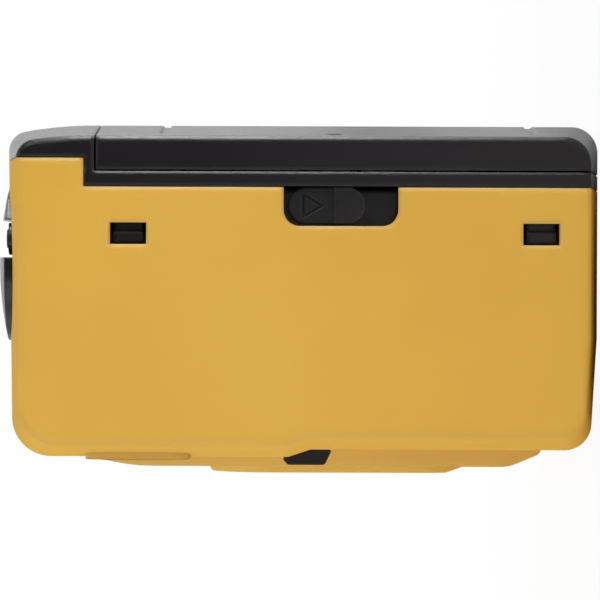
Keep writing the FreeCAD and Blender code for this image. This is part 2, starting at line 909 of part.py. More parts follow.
def make_main_body():
    """Black chassis: frame with the film gate, deck, floor, rear strip, rim and hinge side."""
    band = block(-far, far, side_seam_y + seam_gap, rim_y, -far, deck_top_z)
    rim = outer.common(band)
    frame = nest.common(block(-far, far, frame_front_y, rim_y, 0, deck_top_z))
    deck = nest.common(block(-far, far, -far, rim_y, deck_z, deck_top_z))
    floor = nest.common(block(-floor_half, floor_half, -far, rim_y, 0, chamber_floor_z))
    body = fuse_all(
        [rim, frame, deck, floor, rear_cap(), hinge_column(), latch_floor()] + snap_tongues() + film_rails()
    )
    cuts = [make_tunnel()[1], cassette_room(deck_z - door_gap), take_up_room()] + sprocket_rooms()
    cuts.append(rod("z", battery_x, battery_y, battery_r, 0, chamber_floor_z + 1))
    cuts.append(rod(
        "z", sprocket_x, sprocket_y, release_r + release_flange + release_room, -1, chamber_floor_z
    ))
    cuts.append(rod("z", sprocket_x, sprocket_y, release_stem_r + button_gap, -1, far))
    cuts.append(rod("z", cassette_x, cassette_y, knob_shaft_r + 0.1, deck_z - 1, deck_top_z + 1))
    cuts.append(rod("z", spool_x, spool_y, spool_shaft_r + bearing_gap, 0.5, deck_top_z + 1))
    cuts.append(latch_pocket().cut(rod("z", cassette_x, cassette_y, cassette_r + 0.9, 0, far)))
    cuts.append(battery_opening(cover_gap))
    cuts.append(cover_barrel(cover_gap + 0.2))
    cuts.append(block(
        lever_x + lever_long - 3.6, lever_x + lever_long + 1.6, lever_y - 1.4, lever_y + 1.4,
        deck_z - 1, deck_top_z + 1,
    ))
    cuts.append(strap_pocket(strap_wall + nest_gap))
    cuts.append(rod("z", hinge_x, hinge_y, hinge_pin_r + bearing_gap / 4, chamber_floor_z - 1, deck_z + 1))
    cuts.append(block(
        inner_end - slider_inset, far, slider_front_y - slider_strip - 0.3, side_seam_y + seam_gap / 2,
        latch_bottom_z - latch_spring_depth - 0.05, slider_top_z + 1.7,
    ))
    head = frame_front_y + 1.5
    for x, z in post_places():
        cuts.append(rod("y", x, z, screw_r + 0.15, 0, far))
        cuts.append(rod("y", x, z, screw_head_r + 0.15, head, far))
        cuts.append(rod("y", x, z, post_r + nest_gap, -far, frame_front_y))
    body = cut_all(body, cuts)
    return fuse_all([body, lever_post(), spool_bearing(), sprocket_bearing(), make_counter_post()])


def spool_bearing():
    """Low ring under the take-up spool that carries its lower journal."""
    return tube("z", spool_x, spool_y, spool_shaft_r + 1.2, spool_shaft_r + bearing_gap,
                chamber_floor_z - 0.5, chamber_floor_z + 0.3)


def sprocket_bearing():
    """Boss on the floor that carries the sprocket shaft's lower end above the rewind release."""
    room = release_r + release_flange + release_room
    boss = rod("z", sprocket_x, sprocket_y, room + 0.9, chamber_floor_z - 0.8, sprocket_low_z + 1.5)
    below = rod("z", sprocket_x, sprocket_y, room, 0, chamber_floor_z)
    stem = rod("z", sprocket_x, sprocket_y, release_stem_r + button_gap, 0, far)
    bore = rod("z", sprocket_x, sprocket_y, sprocket_shaft_r + bearing_gap, sprocket_low_z - 0.3, far)
    spool_side = rod("z", spool_x, spool_y, spool_room_r + chamber_wall, 0, far)
    return cut_all(boss, [below, stem, bore, spool_side])


def lever_post():
    """Fork on the deck that holds the release lever's pin."""
    half = lever_thickness / 2
    ears = []
    w = lever_ear_width / 2
    for y0 in (lever_y - half - button_gap - lever_ear, lever_y + half + button_gap):
        ears.append(block(lever_x - w, lever_x + w, y0, y0 + lever_ear, deck_top_z - 0.2,
                          lever_z + lever_ear_top))
    hole = rod("y", lever_x, lever_z, lever_pin_r + 0.02, lever_y - 5, lever_y + 5)
    return ears[0].fuse(ears[1]).cut(hole)


def surface_grooves(z, width_z, depth):
    """A shallow groove along the width that follows the outer form and wraps over the ends."""
    skin = outer.cut(body_form(depth))
    return skin.common(block(hinge_x + 3, far, rim_y + 4.0, far, z - width_z / 2, z + width_z / 2))


def make_back_door():
    """Black back door: wraps the bottom and the end, with its hinge barrel and its catch."""
    region = block(hinge_x, far, door_front_y, far, -far, door_top_z)
    door = outer.common(region).cut(door_inside)
    barrel = rod("z", hinge_x, hinge_y, hinge_r, hinge_low_z, hinge_high_z)
    door = door.fuse(barrel)
    ribs = []
    for side in (-1, 1):
        z = axis_z + side * (plate_height / 2 + 1.6)
        ribs.append(block(
            -plate_width / 2, plate_width / 2, film_y + 1.2, back_y - door_wall + 0.2, z - 0.5, z + 0.5,
        ))
    catch_z = latch_nose_z() + catch_width + catch_gap
    catch_x = inner_end - slider_inset
    catch = block(
        catch_x - 1.6, catch_x - 0.2, side_seam_y + 0.9, back_y - door_wall, catch_z, catch_z + catch_width,
    )
    catch = catch.fuse(block(
        catch_x - 1.6, half_width - 1.4, door_front_y + 0.3, back_y - 2.2, catch_z, catch_z + catch_width,
    )).common(outer)
    door = fuse_all([door, catch] + ribs)
    cuts = [rod("z", hinge_x, hinge_y, hinge_pin_r + bearing_gap, -1, far)]
    room = hinge_r + hinge_gap
    cuts.append(rod("z", hinge_x, hinge_y, room, door_wall, hinge_low_z - 0.01))
    cuts.append(rod("z", hinge_x, hinge_y, room, hinge_high_z + 0.01, far))
    cuts.append(surface_grooves(groove_low_z, groove_width, groove_depth))
    cuts.append(surface_grooves(groove_high_z, groove_width, groove_depth))
    cuts.append(Part.makeSphere(nick_r, Vector(nick_x, nick_y, nick_z)))
    return cut_all(door, cuts)


def latch_nose_z():
    """Lower end of the latch slider's nose."""
    return slider_bottom_z + 1.2


def latch_stadium(x0, x1):
    """Block over the latch's whole face, round at both ends."""
    half = (slider_back_y - slider_front_y) / 2
    low, high = slider_bottom_z + half, slider_top_z - half
    straight = block(x0, x1, slider_front_y, slider_back_y, low, high)
    return fuse_all([straight, rod("x", latch_y, low, half, x0, x1), rod("x", latch_y, high, half, x0, x1)])


def make_latch_slider():
    """Latch slider: a stadium face with an arrow and a thumb piece, held by a strip behind the shell."""
    base_x = inner_end - slider_inset + slider_gap
    base_top_x = inner_end - slider_gap
    face_x = inner_end + slider_inset
    face = latch_stadium(base_x, face_x)
    strip_y = slider_front_y - slider_strip
    head_z = slider_top_z + 1.4
    strip = block(base_x, base_top_x, strip_y, slider_front_y + 0.5, arrow_low_z - 2.0, head_z)
    head = block(base_x, base_top_x, strip_y, slider_back_y - 0.4, latch_top_z + 0.05, head_z)
    thumb = latch_stadium(face_x - 0.1, face_x + thumb_proud)
    thumb = thumb.common(block(0, far, 0, far, 0, slider_bottom_z + thumb_height))
    nose = block(
        base_x, base_top_x, slider_back_y - 0.4, side_seam_y + 1.3,
        latch_nose_z(), latch_nose_z() + catch_width,
    )
    slider = fuse_all([face, strip, head, thumb, nose])
    def triangle(inset):
        tip = arrow_low_z + inset * 2
        back = arrow_high_z - inset
        w = arrow_width / 2 - inset * 1.7
        x0 = face_x - arrow_depth
        points = [Vector(x0, latch_y, tip), Vector(x0, latch_y - w, back), Vector(x0, latch_y + w, back)]
        return Part.Face(Part.makePolygon(points + points[:1])).extrude(Vector(2, 0, 0))
    return slider.cut(triangle(0).cut(triangle(arrow_line)))


def make_rewind_knob():
    """Domed knob with a channel for the crank and a pocket for its finger knob."""
    dome_r = (knob_r ** 2 + knob_dome ** 2) / (2 * knob_dome)
    top = knob_rim_z + knob_dome
    knob = rod("z", cassette_x, cassette_y, knob_r, knob_bottom_z, top)
    dome = Part.makeSphere(dome_r, Vector(cassette_x, cassette_y, top - dome_r))
    knob = knob.common(dome)
    crank_y = cassette_y + crank_offset_y
    half = crank_channel / 2
    floor = crank_z - crank_thickness / 2 - 0.45
    channel = block(
        cassette_x - 2 * knob_r, cassette_x + 2 * knob_r, crank_y - half, crank_y + half, floor, far
    )
    pocket = rod("z", finger_x, crank_y, finger_knob_r + 0.35,
                 crank_z - finger_knob_height - 0.3, far)
    pin = rod("y", cassette_x - crank_reach, crank_z, crank_pin_r + 0.02,
              crank_y - half - 1.4, crank_y + half + 1.4)
    bore = rod("z", cassette_x, cassette_y, knob_shaft_r, 0, knob_bottom_z + 1.0)
    return cut_all(knob, [channel, pocket, pin, bore])


def make_rewind_shaft():
    """Shaft from the knob into the film chamber, ending in a two-pronged fork."""
    shaft = rod("z", cassette_x, cassette_y, knob_shaft_r, fork_z + fork_length, knob_bottom_z + 1.0)
    fork = rod("z", cassette_x, cassette_y, fork_width, fork_z, fork_z + fork_length)
    collar = fork.common(block(-far, far, -far, far, fork_z + fork_length * 0.6, far))
    blade = fork.common(block(0, far, cassette_y - 0.8, cassette_y + 0.8, 0, far))
    return fuse_all([shaft, collar, blade])


def make_rewind_sleeve():
    """Sleeve between knob and deck that the shaft turns in."""
    z0 = deck_top_z + 0.2
    return tube("z", cassette_x, cassette_y, knob_sleeve_r, knob_shaft_r + bearing_gap, z0,
                knob_bottom_z - 0.1)


def make_rewind_crank():
    """Folding crank arm lying in the knob's channel."""
    y = cassette_y + crank_offset_y
    w = crank_width / 2
    t = crank_thickness / 2
    x0, x1 = cassette_x - crank_reach, finger_x
    arm = block(x0, x1, y - w, y + w, crank_z - t, crank_z + t)
    tip = rod("z", x1, y, w, crank_z - t, crank_z + t)
    root = rod("y", x0, crank_z, t + 0.15, y - w, y + w)
    arm = fuse_all([arm, tip, root])
    pin = rod("y", x0, crank_z, crank_pin_r + 0.04, y - 4, y + 4)
    spin = rod("z", x1, y, finger_stem_r + bearing_gap, crank_z - 2, crank_z + 2)
    return arm.cut(pin).cut(spin)


def make_crank_pin():
    """Pin that hinges the crank in the knob."""
    y = cassette_y + crank_offset_y
    half = crank_channel / 2 + 0.6
    return rod("y", cassette_x - crank_reach, crank_z, crank_pin_r, y - half, y + half)


def make_finger_knob():
    """Small turning knob riveted through the crank's tip."""
    y = cassette_y + crank_offset_y
    arm_low = crank_z - crank_thickness / 2
    arm_top = crank_z + crank_thickness / 2
    low = arm_low - 0.1
    knob = rod("z", finger_x, y, finger_knob_r, low - finger_knob_height + 0.4, low)
    stem = rod("z", finger_x, y, finger_stem_r, low - 0.1, arm_top + finger_head_rise)
    head = rod("z", finger_x, y, finger_head_r, arm_top + 0.06, arm_top + finger_head_rise)
    return fuse_all([knob, stem, head])


def top_z_at(y):
    """Height of the outer top face at a place along Y."""
    back = back_y - back_lean
    return height - top_fall * (back - y) / (back - front_top_y)


def make_shutter_button():
    """Round button with a dished top, a stem and a flange that stops it in the shell."""
    top = top_z_at(button_y) + button_proud
    inside = top_z_at(button_y + button_r) - shell_wall
    cap = rod("z", button_x, button_y, button_r, inside - 0.2, top)
    rim = [e for e in cap.Edges if e.Closed and abs(e.BoundBox.ZMin - top) < 0.01]
    cap = cap.makeFillet(0.4, rim[:1])
    dish_r = (button_r ** 2 + button_dish ** 2) / (2 * button_dish)
    dish = Part.makeSphere(dish_r, Vector(button_x, button_y, top - button_dish + dish_r))
    cap = cap.cut(dish.common(rod("z", button_x, button_y, button_r - 0.7, inside, far)))
    low = top_z_at(button_y - button_r) - shell_wall - 0.25
    flange = rod("z", button_x, button_y, button_r + 0.7, low - 0.6, low - 0.1)
    neck = rod("z", button_x, button_y, button_r - 0.3, low - 0.3, inside)
    stem_low = lever_z + lever_height / 2 + 0.1
    stem = rod("z", button_x, button_y, button_stem_r, stem_low, low)
    return fuse_all([cap, flange, neck, stem])


def make_button_spring():
    """Small coil between the deck and the lever's arm, shown as its envelope."""
    return tube("z", button_x, lever_y, 1.3, 0.8, deck_top_z + 0.02, lever_z - lever_height / 2 - 0.05)


def make_release_lever():
    """Rocker that carries the button's stroke across to the shutter."""
    h = lever_height / 2
    t = lever_thickness / 2
    arm = block(lever_x - lever_short, lever_x + lever_long, lever_y - t, lever_y + t,
                lever_z - h, lever_z + h)
    pad = block(button_x - 1.4, button_x + 1.4, lever_y - t, button_y + 0.8, lever_z - h, lever_z + h)
    tip_x = lever_x + lever_long
    finger = block(tip_x - lever_finger_width, tip_x, lever_y - t, lever_y + t, lever_finger_z, lever_z)
    hub = rod("y", lever_x, lever_z, lever_hub_r, lever_y - t, lever_y + t)
    lever = fuse_all([arm, pad, finger, hub])
    return lever.cut(rod("y", lever_x, lever_z, lever_pin_r + 0.06, lever_y - 5, lever_y + 5))


def make_lever_pin():
    """Pin of the release lever."""
    half = lever_thickness / 2 + button_gap + lever_ear
    return rod("y", lever_x, lever_z, lever_pin_r, lever_y - half, lever_y + half)


def make_lens_bezel():
    """Black bezel with a stepped cone down to the lens and a flange behind the shell."""
    body = rod("y", 0, axis_z, bezel_r, bezel_front_y, bezel_back_y)
    flange_y = plateau_y + shell_wall + bezel_gap
    flange = rod("y", 0, axis_z, bezel_r + bezel_flange, flange_y, flange_y + bezel_flange_thickness)
    body = body.fuse(flange)
    mouth = cone_y(0, axis_z, bezel_mouth_r, lens_r + lens_lip, bezel_front_y - 0.01, lens_seat_y)
    seat_front = rod("y", 0, axis_z, lens_r - lens_lip, lens_front_y - 1, bezel_back_y + 1)
    seat = rod("y", 0, axis_z, lens_r + lens_seat_gap, lens_seat_y, bezel_back_y + 1)
    rings = []
    for i in range(baffle_rings):
        r = bezel_mouth_r - 0.9 - i * baffle_step
        y = bezel_front_y + 0.35 + i * baffle_drop
        rings.append(tube("y", 0, axis_z, r + 0.25, r, y - 0.2, y + 0.4))
    body = cut_all(body, [mouth, seat_front, seat] + rings)
    front_edges = [e for e in body.Edges if e.Closed and abs(e.BoundBox.YMax - bezel_front_y) < 0.02]
    rim = [e for e in front_edges if e.BoundBox.XLength > 2 * bezel_r - 0.1]
    return body.makeFillet(0.3, rim[:1])


def make_lens_element():
    """Meniscus-like lens with a bulged front."""
    y0 = lens_seat_y + lens_seat_gap
    core = rod("y", 0, axis_z, lens_r, y0, y0 + lens_thickness)
    bulge_r = (lens_r ** 2 + lens_bulge ** 2) / (2 * lens_bulge)
    front = Part.makeSphere(bulge_r, Vector(0, y0 + bulge_r, axis_z))
    back = Part.makeSphere(bulge_r * 1.6, Vector(0, y0 + lens_thickness - 0.4 + bulge_r * 1.6, axis_z))
    return core.common(front).cut(back)


def make_lens_retainer():
    """Ring that holds the lens in its seat."""
    y0 = lens_seat_y + lens_seat_gap + lens_thickness + 0.02
    r = lens_r + lens_seat_gap - 0.02
    return tube("y", 0, axis_z, r, r - retainer_wall, y0, y0 + retainer_length)


def blade_place():
    """Pivot of the shutter blade, in X and Z."""
    return blade_pivot_x, axis_z + blade_pivot_z


def make_shutter_plate():
    """Plate in front of the light cone with the aperture and the blade's pivot."""
    y1 = tunnel_front_y - 1
    y0 = y1 - shutter_plate_thickness
    half = shutter_size / 2
    plate = soft_block(-half, half, y0, y1, axis_z - half, axis_z + half, "y", shutter_corner)
    px, pz = blade_place()
    pin = rod("y", px, pz, blade_pin_r, y0 - blade_lift - blade_thickness - 0.4, y0 + 0.1)
    hole = cone_y(0, axis_z, aperture_r, aperture_r + 1.4, y0 - 0.1, y1 + 0.1)
    return plate.fuse(pin).cut(hole)


def make_shutter_blade():
    """Thin swinging blade that covers the aperture at rest."""
    y1 = tunnel_front_y - 1 - shutter_plate_thickness - blade_lift
    y0 = y1 - blade_thickness
    px, pz = blade_place()
    arm = Part.Face(Part.makePolygon([
        Vector(px - 1.6, y0, pz), Vector(-1.9, y0, axis_z - 1.7), Vector(1.9, y0, axis_z + 1.7),
        Vector(px + 1.6, y0, pz + 0.8), Vector(px - 1.6, y0, pz),
    ])).extrude(Vector(0, blade_thickness, 0))
    end = rod("y", 0, axis_z, blade_end_r, y0, y1)
    hub = rod("y", px, pz, 1.8, y0, y1)
    tail = block(px - 3.4, px, y0, y1, pz - 0.6, pz + 0.6)
    blade = fuse_all([arm, end, hub, tail])
    return blade.cut(rod("y", px, pz, blade_pin_r + 0.06, y0 - 1, y1 + 1))


def make_blade_spring():
    """Small spring that pulls the blade shut, shown as its envelope."""
    y1 = tunnel_front_y - 1 - shutter_plate_thickness
    px, pz = blade_place()
    return rod("z", px - 4.6, y1 - 0.75, 0.45, pz - 8.0, pz - 1.2)


def make_finder_bezel():
    """Black frame of the front viewfinder window."""
    w, h = finder_width / 2, finder_height / 2
    grow = finder_frame - 0.1
    frame = soft_block(
        finder_x - w - grow, finder_x + w + grow, finder_front_y, front_y + 2.4,
        finder_z - h - grow, finder_z + h + grow, "y", 1.1,
    )
    hole = soft_block(finder_x - w, finder_x + w, -far, 0, finder_z - h, finder_z + h, "y", 0.6)
    return frame.cut(hole)


def make_finder_front():
    """Front lens of the viewfinder, slightly hollow on its outer face."""
    w, h = finder_width / 2 - 0.1, finder_height / 2 - 0.1
    y0 = finder_front_y + 0.8
    lens = soft_block(
        finder_x - w, finder_x + w, y0, y0 + finder_lens, finder_z - h, finder_z + h, "y", 0.6
    )
    ball = Part.makeSphere(finder_lens_curve, Vector(finder_x, y0 - finder_lens_curve + 0.55, finder_z))
    return lens.cut(ball)


def make_finder_eyepiece():
    """Eyepiece lens of the viewfinder in the rear strip."""
    w, h = eyepiece_width / 2 - 0.1, eyepiece_height / 2 - 0.1
    y0 = back_y - door_wall + 0.1
    lens = soft_block(finder_x - w, finder_x + w, y0, y0 + eyepiece_thickness, finder_z - h,
                      finder_z + h, "y", 0.75)
    ball_y = y0 + eyepiece_thickness - eyepiece_curve
    ball = Part.makeSphere(eyepiece_curve, Vector(finder_x, ball_y, finder_z))
    return lens.common(ball)


def make_counter_window():
    """Clear window over the frame counter."""
    w, d = counter_window_w / 2 - 0.08, counter_window_d / 2 - 0.08
    z1 = top_z_at(counter_window_y) - 0.25
    pane = block(counter_x - w, counter_x + w, counter_window_y - d, counter_window_y + d, z1 - 1.0, z1)
    return pane


def make_counter_dial():
    """Frame counter dial with a notched rim."""
    dial = rod("z", counter_x, counter_y, counter_r, counter_z, counter_z + counter_thickness)
    cuts = []
    for i in range(counter_notches):
        angle = 2 * math.pi * i / counter_notches
        x = counter_x + counter_r * math.cos(angle)
        y = counter_y + counter_r * math.sin(angle)
        cuts.append(rod("z", x, y, counter_notch_r, counter_z - 1, counter_z + counter_thickness + 1))
    dial = dial.cut(Part.makeCompound(cuts))
    hub = rod("z", counter_x, counter_y, counter_hub_r, counter_z - counter_hub, counter_z + 0.1)
    return dial.fuse(hub).cut(rod("z", counter_x, counter_y, counter_pin_r + bearing_gap, 0, far))


def make_counter_post():
    """Post on the deck that the counter dial turns on."""
    shoulder = counter_z - counter_hub - 0.1
    top = counter_z + counter_thickness + 0.2
    low = rod("z", counter_x, counter_y, counter_hub_r, deck_top_z, shoulder)
    return low.fuse(rod("z", counter_x, counter_y, counter_pin_r, deck_top_z, top))


def make_advance_wheel():
    """Thumb wheel with a milled rim, on the take-up spool's shaft."""
    r = wheel_radius()
    wheel = rod("z", spool_x, spool_y, r, wheel_z, wheel_z + wheel_thickness)
    cuts = []
    for i in range(wheel_teeth):
        angle = 2 * math.pi * (i + 0.5) / wheel_teeth
        x = spool_x + (r + 0.1) * math.cos(angle)
        y = spool_y + (r + 0.1) * math.sin(angle)
        cuts.append(rod("z", x, y, wheel_tooth, wheel_z - 1, wheel_z + wheel_thickness + 1))
    wheel = wheel.cut(Part.makeCompound(cuts))
    dish_z = wheel_z + wheel_thickness - wheel_dish
    dish = tube("z", spool_x, spool_y, r - wheel_rim, wheel_hub_r, dish_z, far)
    under = tube("z", spool_x, spool_y, r - wheel_rim, wheel_hub_r, 0, wheel_z + wheel_dish - 0.2)
    return cut_all(wheel, [dish, under, rod("z", spool_x, spool_y, spool_shaft_r, 0, far)])


def make_take_up_spool():
    """Take-up spool with flanges, a film slot and journals at both ends."""
    low = chamber_floor_z + 0.3 + end_float
    high = deck_z - end_float
    hub = rod("z", spool_x, spool_y, spool_hub_r, low, high)
    parts = [hub]
    reach = film_height / 2 + spool_side_gap
    for z in (axis_z - reach - spool_flange, axis_z + reach):
        parts.append(rod("z", spool_x, spool_y, spool_flange_r, z, z + spool_flange))
    shaft_top = wheel_z + wheel_thickness
    parts.append(rod("z", spool_x, spool_y, spool_shaft_r, chamber_floor_z - 1.2, shaft_top))
    spool = fuse_all(parts)
    front = spool_y - spool_hub_r
    slot = block(spool_x - spool_slot / 2, spool_x + spool_slot / 2, front - 1, front + 3,
                 axis_z - film_height / 2, axis_z + film_height / 2)
    return spool.cut(slot)


def make_sprocket_shaft():
    """Shaft with two toothed wheels that the film's perforations turn."""
    shaft = rod("z", sprocket_x, sprocket_y, sprocket_shaft_r, sprocket_low_z, counter_z - 0.3)
    finger = rod("z", sprocket_x, sprocket_y, counter_finger_r, counter_z - 0.3, counter_z + 0.7)
    parts = [shaft, finger]
    for side in (-1, 1):
        z = axis_z + side * perforation_offset
        t = sprocket_thickness / 2
        parts.append(rod("z", sprocket_x, sprocket_y, sprocket_r, z - t, z + t))
        for i in range(sprocket_teeth):
            tooth = Part.makeCone(0.75, 0.3, sprocket_tooth + 0.3,
                                  Vector(sprocket_x + sprocket_r - 0.3, sprocket_y, z), Vector(1, 0, 0))
            tooth.rotate(Vector(sprocket_x, sprocket_y, z), Vector(0, 0, 1), i * 360 / sprocket_teeth)
            parts.append(tooth)
    return fuse_all(parts)


def make_wheel_pawl():
    """Thin spring pawl on the deck that keeps the wheel from running back."""
    y = spool_y - wheel_radius() - 0.5
    foot_x = spool_x - 9.5
    foot = block(foot_x, foot_x + pawl_foot, y - 1.2, y + 0.2, deck_top_z, wheel_z + pawl_height)
    blade = block(foot_x + pawl_foot - 0.5, spool_x + 1.0, y - 0.2 - pawl_thickness, y - 0.2,
                  wheel_z, wheel_z + pawl_height)
    return foot.fuse(blade)


def make_flash_window():
    """Clear ribbed window in front of the flash."""
    w, h = flash_width / 2 - 0.1, flash_height / 2 - 0.1
    y0 = flash_pad_y - 0.1
    pane = soft_block(flash_x - w, flash_x + w, y0, y0 + flash_window_thickness,
                      flash_z - h, flash_z + h, "y", 0.9)
    ribs = []
    pitch = 1.1
    count = int((flash_width - 3) / pitch)
    for i in range(count):
        x = flash_x + (i - (count - 1) / 2) * pitch
        ribs.append(rod("z", x, y0 + flash_window_thickness + 0.1, 0.3, flash_z - h + 1, flash_z + h - 1))
    return pane.cut(Part.makeCompound(ribs))


def make_flash_reflector():
    """Trough behind the flash window."""
    w, h = flash_width / 2 - reflector_side, flash_height / 2 - 0.45
    y0 = reflector_y
    def trough(grow):
        corners = [
            (y0 - (0.5 if grow < 0 else 0), flash_z - h - grow, 0.05),
            (y0 - (0.5 if grow < 0 else 0), flash_z + h + grow, 0.05),
            (y0 + reflector_depth * 0.6, flash_z + h + grow, 1.2),
            (y0 + reflector_depth + grow, flash_z + 1.6, 1.2),
            (y0 + reflector_depth + grow, flash_z - 1.6, 1.2),
            (y0 + reflector_depth * 0.6, flash_z - h - grow, 1.2),
        ]
        corners.reverse()
        x0 = flash_x - w - grow
        wire = rounded_outline(corners, lambda y, z: Vector(x0, y, z), 0)
        return Part.Face(wire).extrude(Vector(2 * (w + grow), 0, 0))
    return trough(0).cut(trough(-reflector_wall))


def make_flash_tube():
    """Glass tube across the reflector."""
    w = flash_width / 2 - reflector_side - reflector_wall
    y = reflector_y + reflector_depth * 0.55
    return rod("x", y, flash_z, flash_tube_r, flash_x - w + 0.02, flash_x + w - 0.02)


def make_circuit_board():
    """Flash circuit board with a transformer, a coil and small parts."""
    board = block(board_x0, board_x1, board_y, board_y + board_thickness, board_z0, board_z1)
    parts = [board]
    parts.append(block(board_x0 + 1, board_x0 + 7, board_y - 1.8, board_y, board_z0 + 2, board_z0 + 9))
    parts.append(block(board_x0 + 10, board_x0 + 13, board_y - 1.2, board_y, board_z0 + 3, board_z0 + 7))
    for i in range(4):
        z = board_z0 + 12 + i * 2.6
        parts.append(block(board_x0 + 2, board_x0 + 5, board_y - 0.7, board_y, z, z + 1.3))
    return fuse_all(parts)


def make_capacitor():
    """Flash capacitor standing beside the light cone."""
    can = rod("z", capacitor_x, capacitor_y, capacitor_r, capacitor_z0, capacitor_z1)
    rims = [e for e in can.Edges if e.Closed]
    can = can.makeFillet(0.5, rims)
    legs = []
    for dx in (-1.5, 1.5):
        legs.append(rod("z", capacitor_x + dx, capacitor_y, 0.3, chamber_floor_z, capacitor_z0 + 0.5))
    return fuse_all([can] + legs)


def switch_stem():
    """Lower and upper end of the flash switch's stem."""
    middle = (switch_z0 + switch_z1) / 2
    return middle - switch_stem_height / 2, middle + switch_stem_height / 2


def make_flash_switch():
    """Ribbed slider on the front that turns the flash on; it slides down from the shell's step."""
    w = switch_width / 2
    front = front_y - switch_proud
    behind_top, behind_low = front_top_y - switch_gap, front_y - switch_gap
    corners = [
        (behind_low, switch_z0, 0.1),
        (behind_low, step_lower_z, 0.1),
        (behind_top, step_upper_z, 0.1),
        (behind_top, switch_z1, 0.1),
        (front, switch_z1 - switch_draft, 0.4),
        (front, switch_z0 + switch_draft, 0.4),
    ]
    side = rounded_outline(corners, lambda y, z: Vector(switch_x - w, y, z), 0)
    cap = Part.Face(side).extrude(Vector(switch_width, 0, 0))
    low, high = switch_stem()
    stem = block(switch_x - switch_slot_width / 2, switch_x + switch_slot_width / 2, behind_top - 0.1,
                 front_y + shell_wall + 0.5, low, high)
    keeper = block(switch_x - w + 0.3, switch_x + w - 0.3, front_y + shell_wall + 0.2,
                   front_y + shell_wall + 0.8, low, high)
    cuts = []
    for i in range(switch_ribs):
        z = (switch_z0 + switch_z1) / 2 + (i - (switch_ribs - 1) / 2) * switch_rib_pitch
        cuts.append(block(switch_x - w + 0.7, switch_x + w - 0.7, front - 1,
                          front + switch_rib_depth, z - 0.25, z + 0.25))
    return cut_all(fuse_all([cap, stem, keeper]), cuts)


def make_ready_lamp():
    """Lamp beside the eyepiece that shows the flash is charged."""
    y0 = back_y - door_wall - 1.5
    stem = rod("y", lamp_x, finder_z, lamp_r, y0, back_y - 0.5)
    flange = rod("y", lamp_x, finder_z, lamp_r + 0.5, y0, y0 + 0.6)
    return stem.fuse(flange)


def make_battery_cover():
    """Lid in the bottom with a hinge barrel and a finger groove."""
    half = battery_r + cover_margin
    y0, y1 = battery_y - battery_r - cover_side, battery_y + battery_r + cover_side
    edge_x = battery_x - half
    plate = outer.common(block(edge_x + cover_web, battery_x + half, y0, y1, -1, shell_wall))
    web = block(
        edge_x - cover_hinge_r, edge_x + cover_web + 0.1, y0, y1, cover_hinge_r, cover_hinge_r * 2 - 0.1
    )
    lip = block(battery_x + half - 1.5, battery_x + half + 0.15, battery_y - 2.5, battery_y + 2.5,
                shell_wall - 0.6, shell_wall)
    cover = fuse_all([plate, web, cover_barrel(0), lip])
    x, z = cover_hinge_place()
    pin = rod("y", x, z, cover_pin_r + 0.05, -far, far)
    grooves = []
    for i in range(3):
        gx = battery_x + half - 2.0 - i * 1.3
        grooves.append(block(gx, gx + 0.6, battery_y - 3, battery_y + 3, -1, 0.35))
    return cut_all(cover, [pin] + grooves)


def make_cover_pin():
    """Hinge pin of the battery cover."""
    x, z = cover_hinge_place()
    reach = battery_r + cover_side + cover_gap
    return rod("y", x, z, cover_pin_r, battery_y - reach, battery_y + reach)


def make_upper_contact():
    """Contact at the closed end of the battery compartment."""
    z1 = battery_top_z - 0.02
    plate = rod("z", battery_x, battery_y, battery_r - 0.5, z1 - contact_thickness, z1)
    return plate.fuse(rod("z", battery_x, battery_y, 2.0, z1 - contact_thickness - 0.4, z1))


def make_lower_contact():
    """Contact spring on the battery cover: a coil that narrows upward."""
    turns = coil_turns
    rise = coil_rise
    wide = battery_r - 2.2
    narrow = battery_r - 3.2
    wire = coil_wire_r
    base_top = shell_wall + 0.02 + contact_thickness
    base = rod("z", battery_x, battery_y, wide + 0.5, shell_wall + 0.02, base_top)
    points = []
    steps = int(turns * 8)
    for i in range(steps + 1):
        share = i / steps
        r = wide + (narrow - wide) * share
        angle = 2 * math.pi * turns * share
        z = base_top + wire * 0.4 + rise * share
        points.append(Vector(battery_x + r * math.cos(angle), battery_y + r * math.sin(angle), z))
    curve = Part.BSplineCurve()
    curve.interpolate(points)
    path = Part.Wire([curve.toShape()])
    ring = Part.Wire([Part.makeCircle(wire, points[0], curve.tangent(curve.FirstParameter)[0])])
    coil = path.makePipeShell([ring], True, True)
    gap = rise / turns - 2 * wire
    print("battery contact spring: least gap between turns", round(gap, 2))
    return base.fuse(coil)


def make_release_button():
    """Rewind release in the bottom: a sunk button with a flange and a stem."""
    cap = rod("z", sprocket_x, sprocket_y, release_r, release_sunk, shell_wall + 0.3)
    flange_low = shell_wall + 0.12
    flange = rod("z", sprocket_x, sprocket_y, release_r + release_flange, flange_low, flange_low + 0.4)
    stem_top = sprocket_low_z - release_travel - button_gap
    stem = rod("z", sprocket_x, sprocket_y, release_stem_r, flange_low, stem_top)
    return fuse_all([cap, flange, stem])


def make_release_spring():
    """Coil over the rewind release's stem, shown as its envelope."""
    return tube("z", sprocket_x, sprocket_y, release_stem_r + 0.9, release_stem_r + 0.35,
                shell_wall + 0.54, chamber_floor_z - 0.02)


def make_hinge_pin():
    """Steel pin of the door hinge."""
    return rod("z", hinge_x, hinge_y, hinge_pin_r, chamber_floor_z - 0.9, deck_z + 0.9)


def make_latch_spring():
    """Coil behind the shell under the latch's strip, shown as its envelope."""
    x = inner_end - slider_inset + slider_gap
    y = slider_front_y - slider_strip + 0.1
    foot_z = latch_bottom_z - latch_spring_depth
    return block(x, x + 0.5, y, y + 0.7, foot_z, arrow_low_z - 2.0 - 0.05)


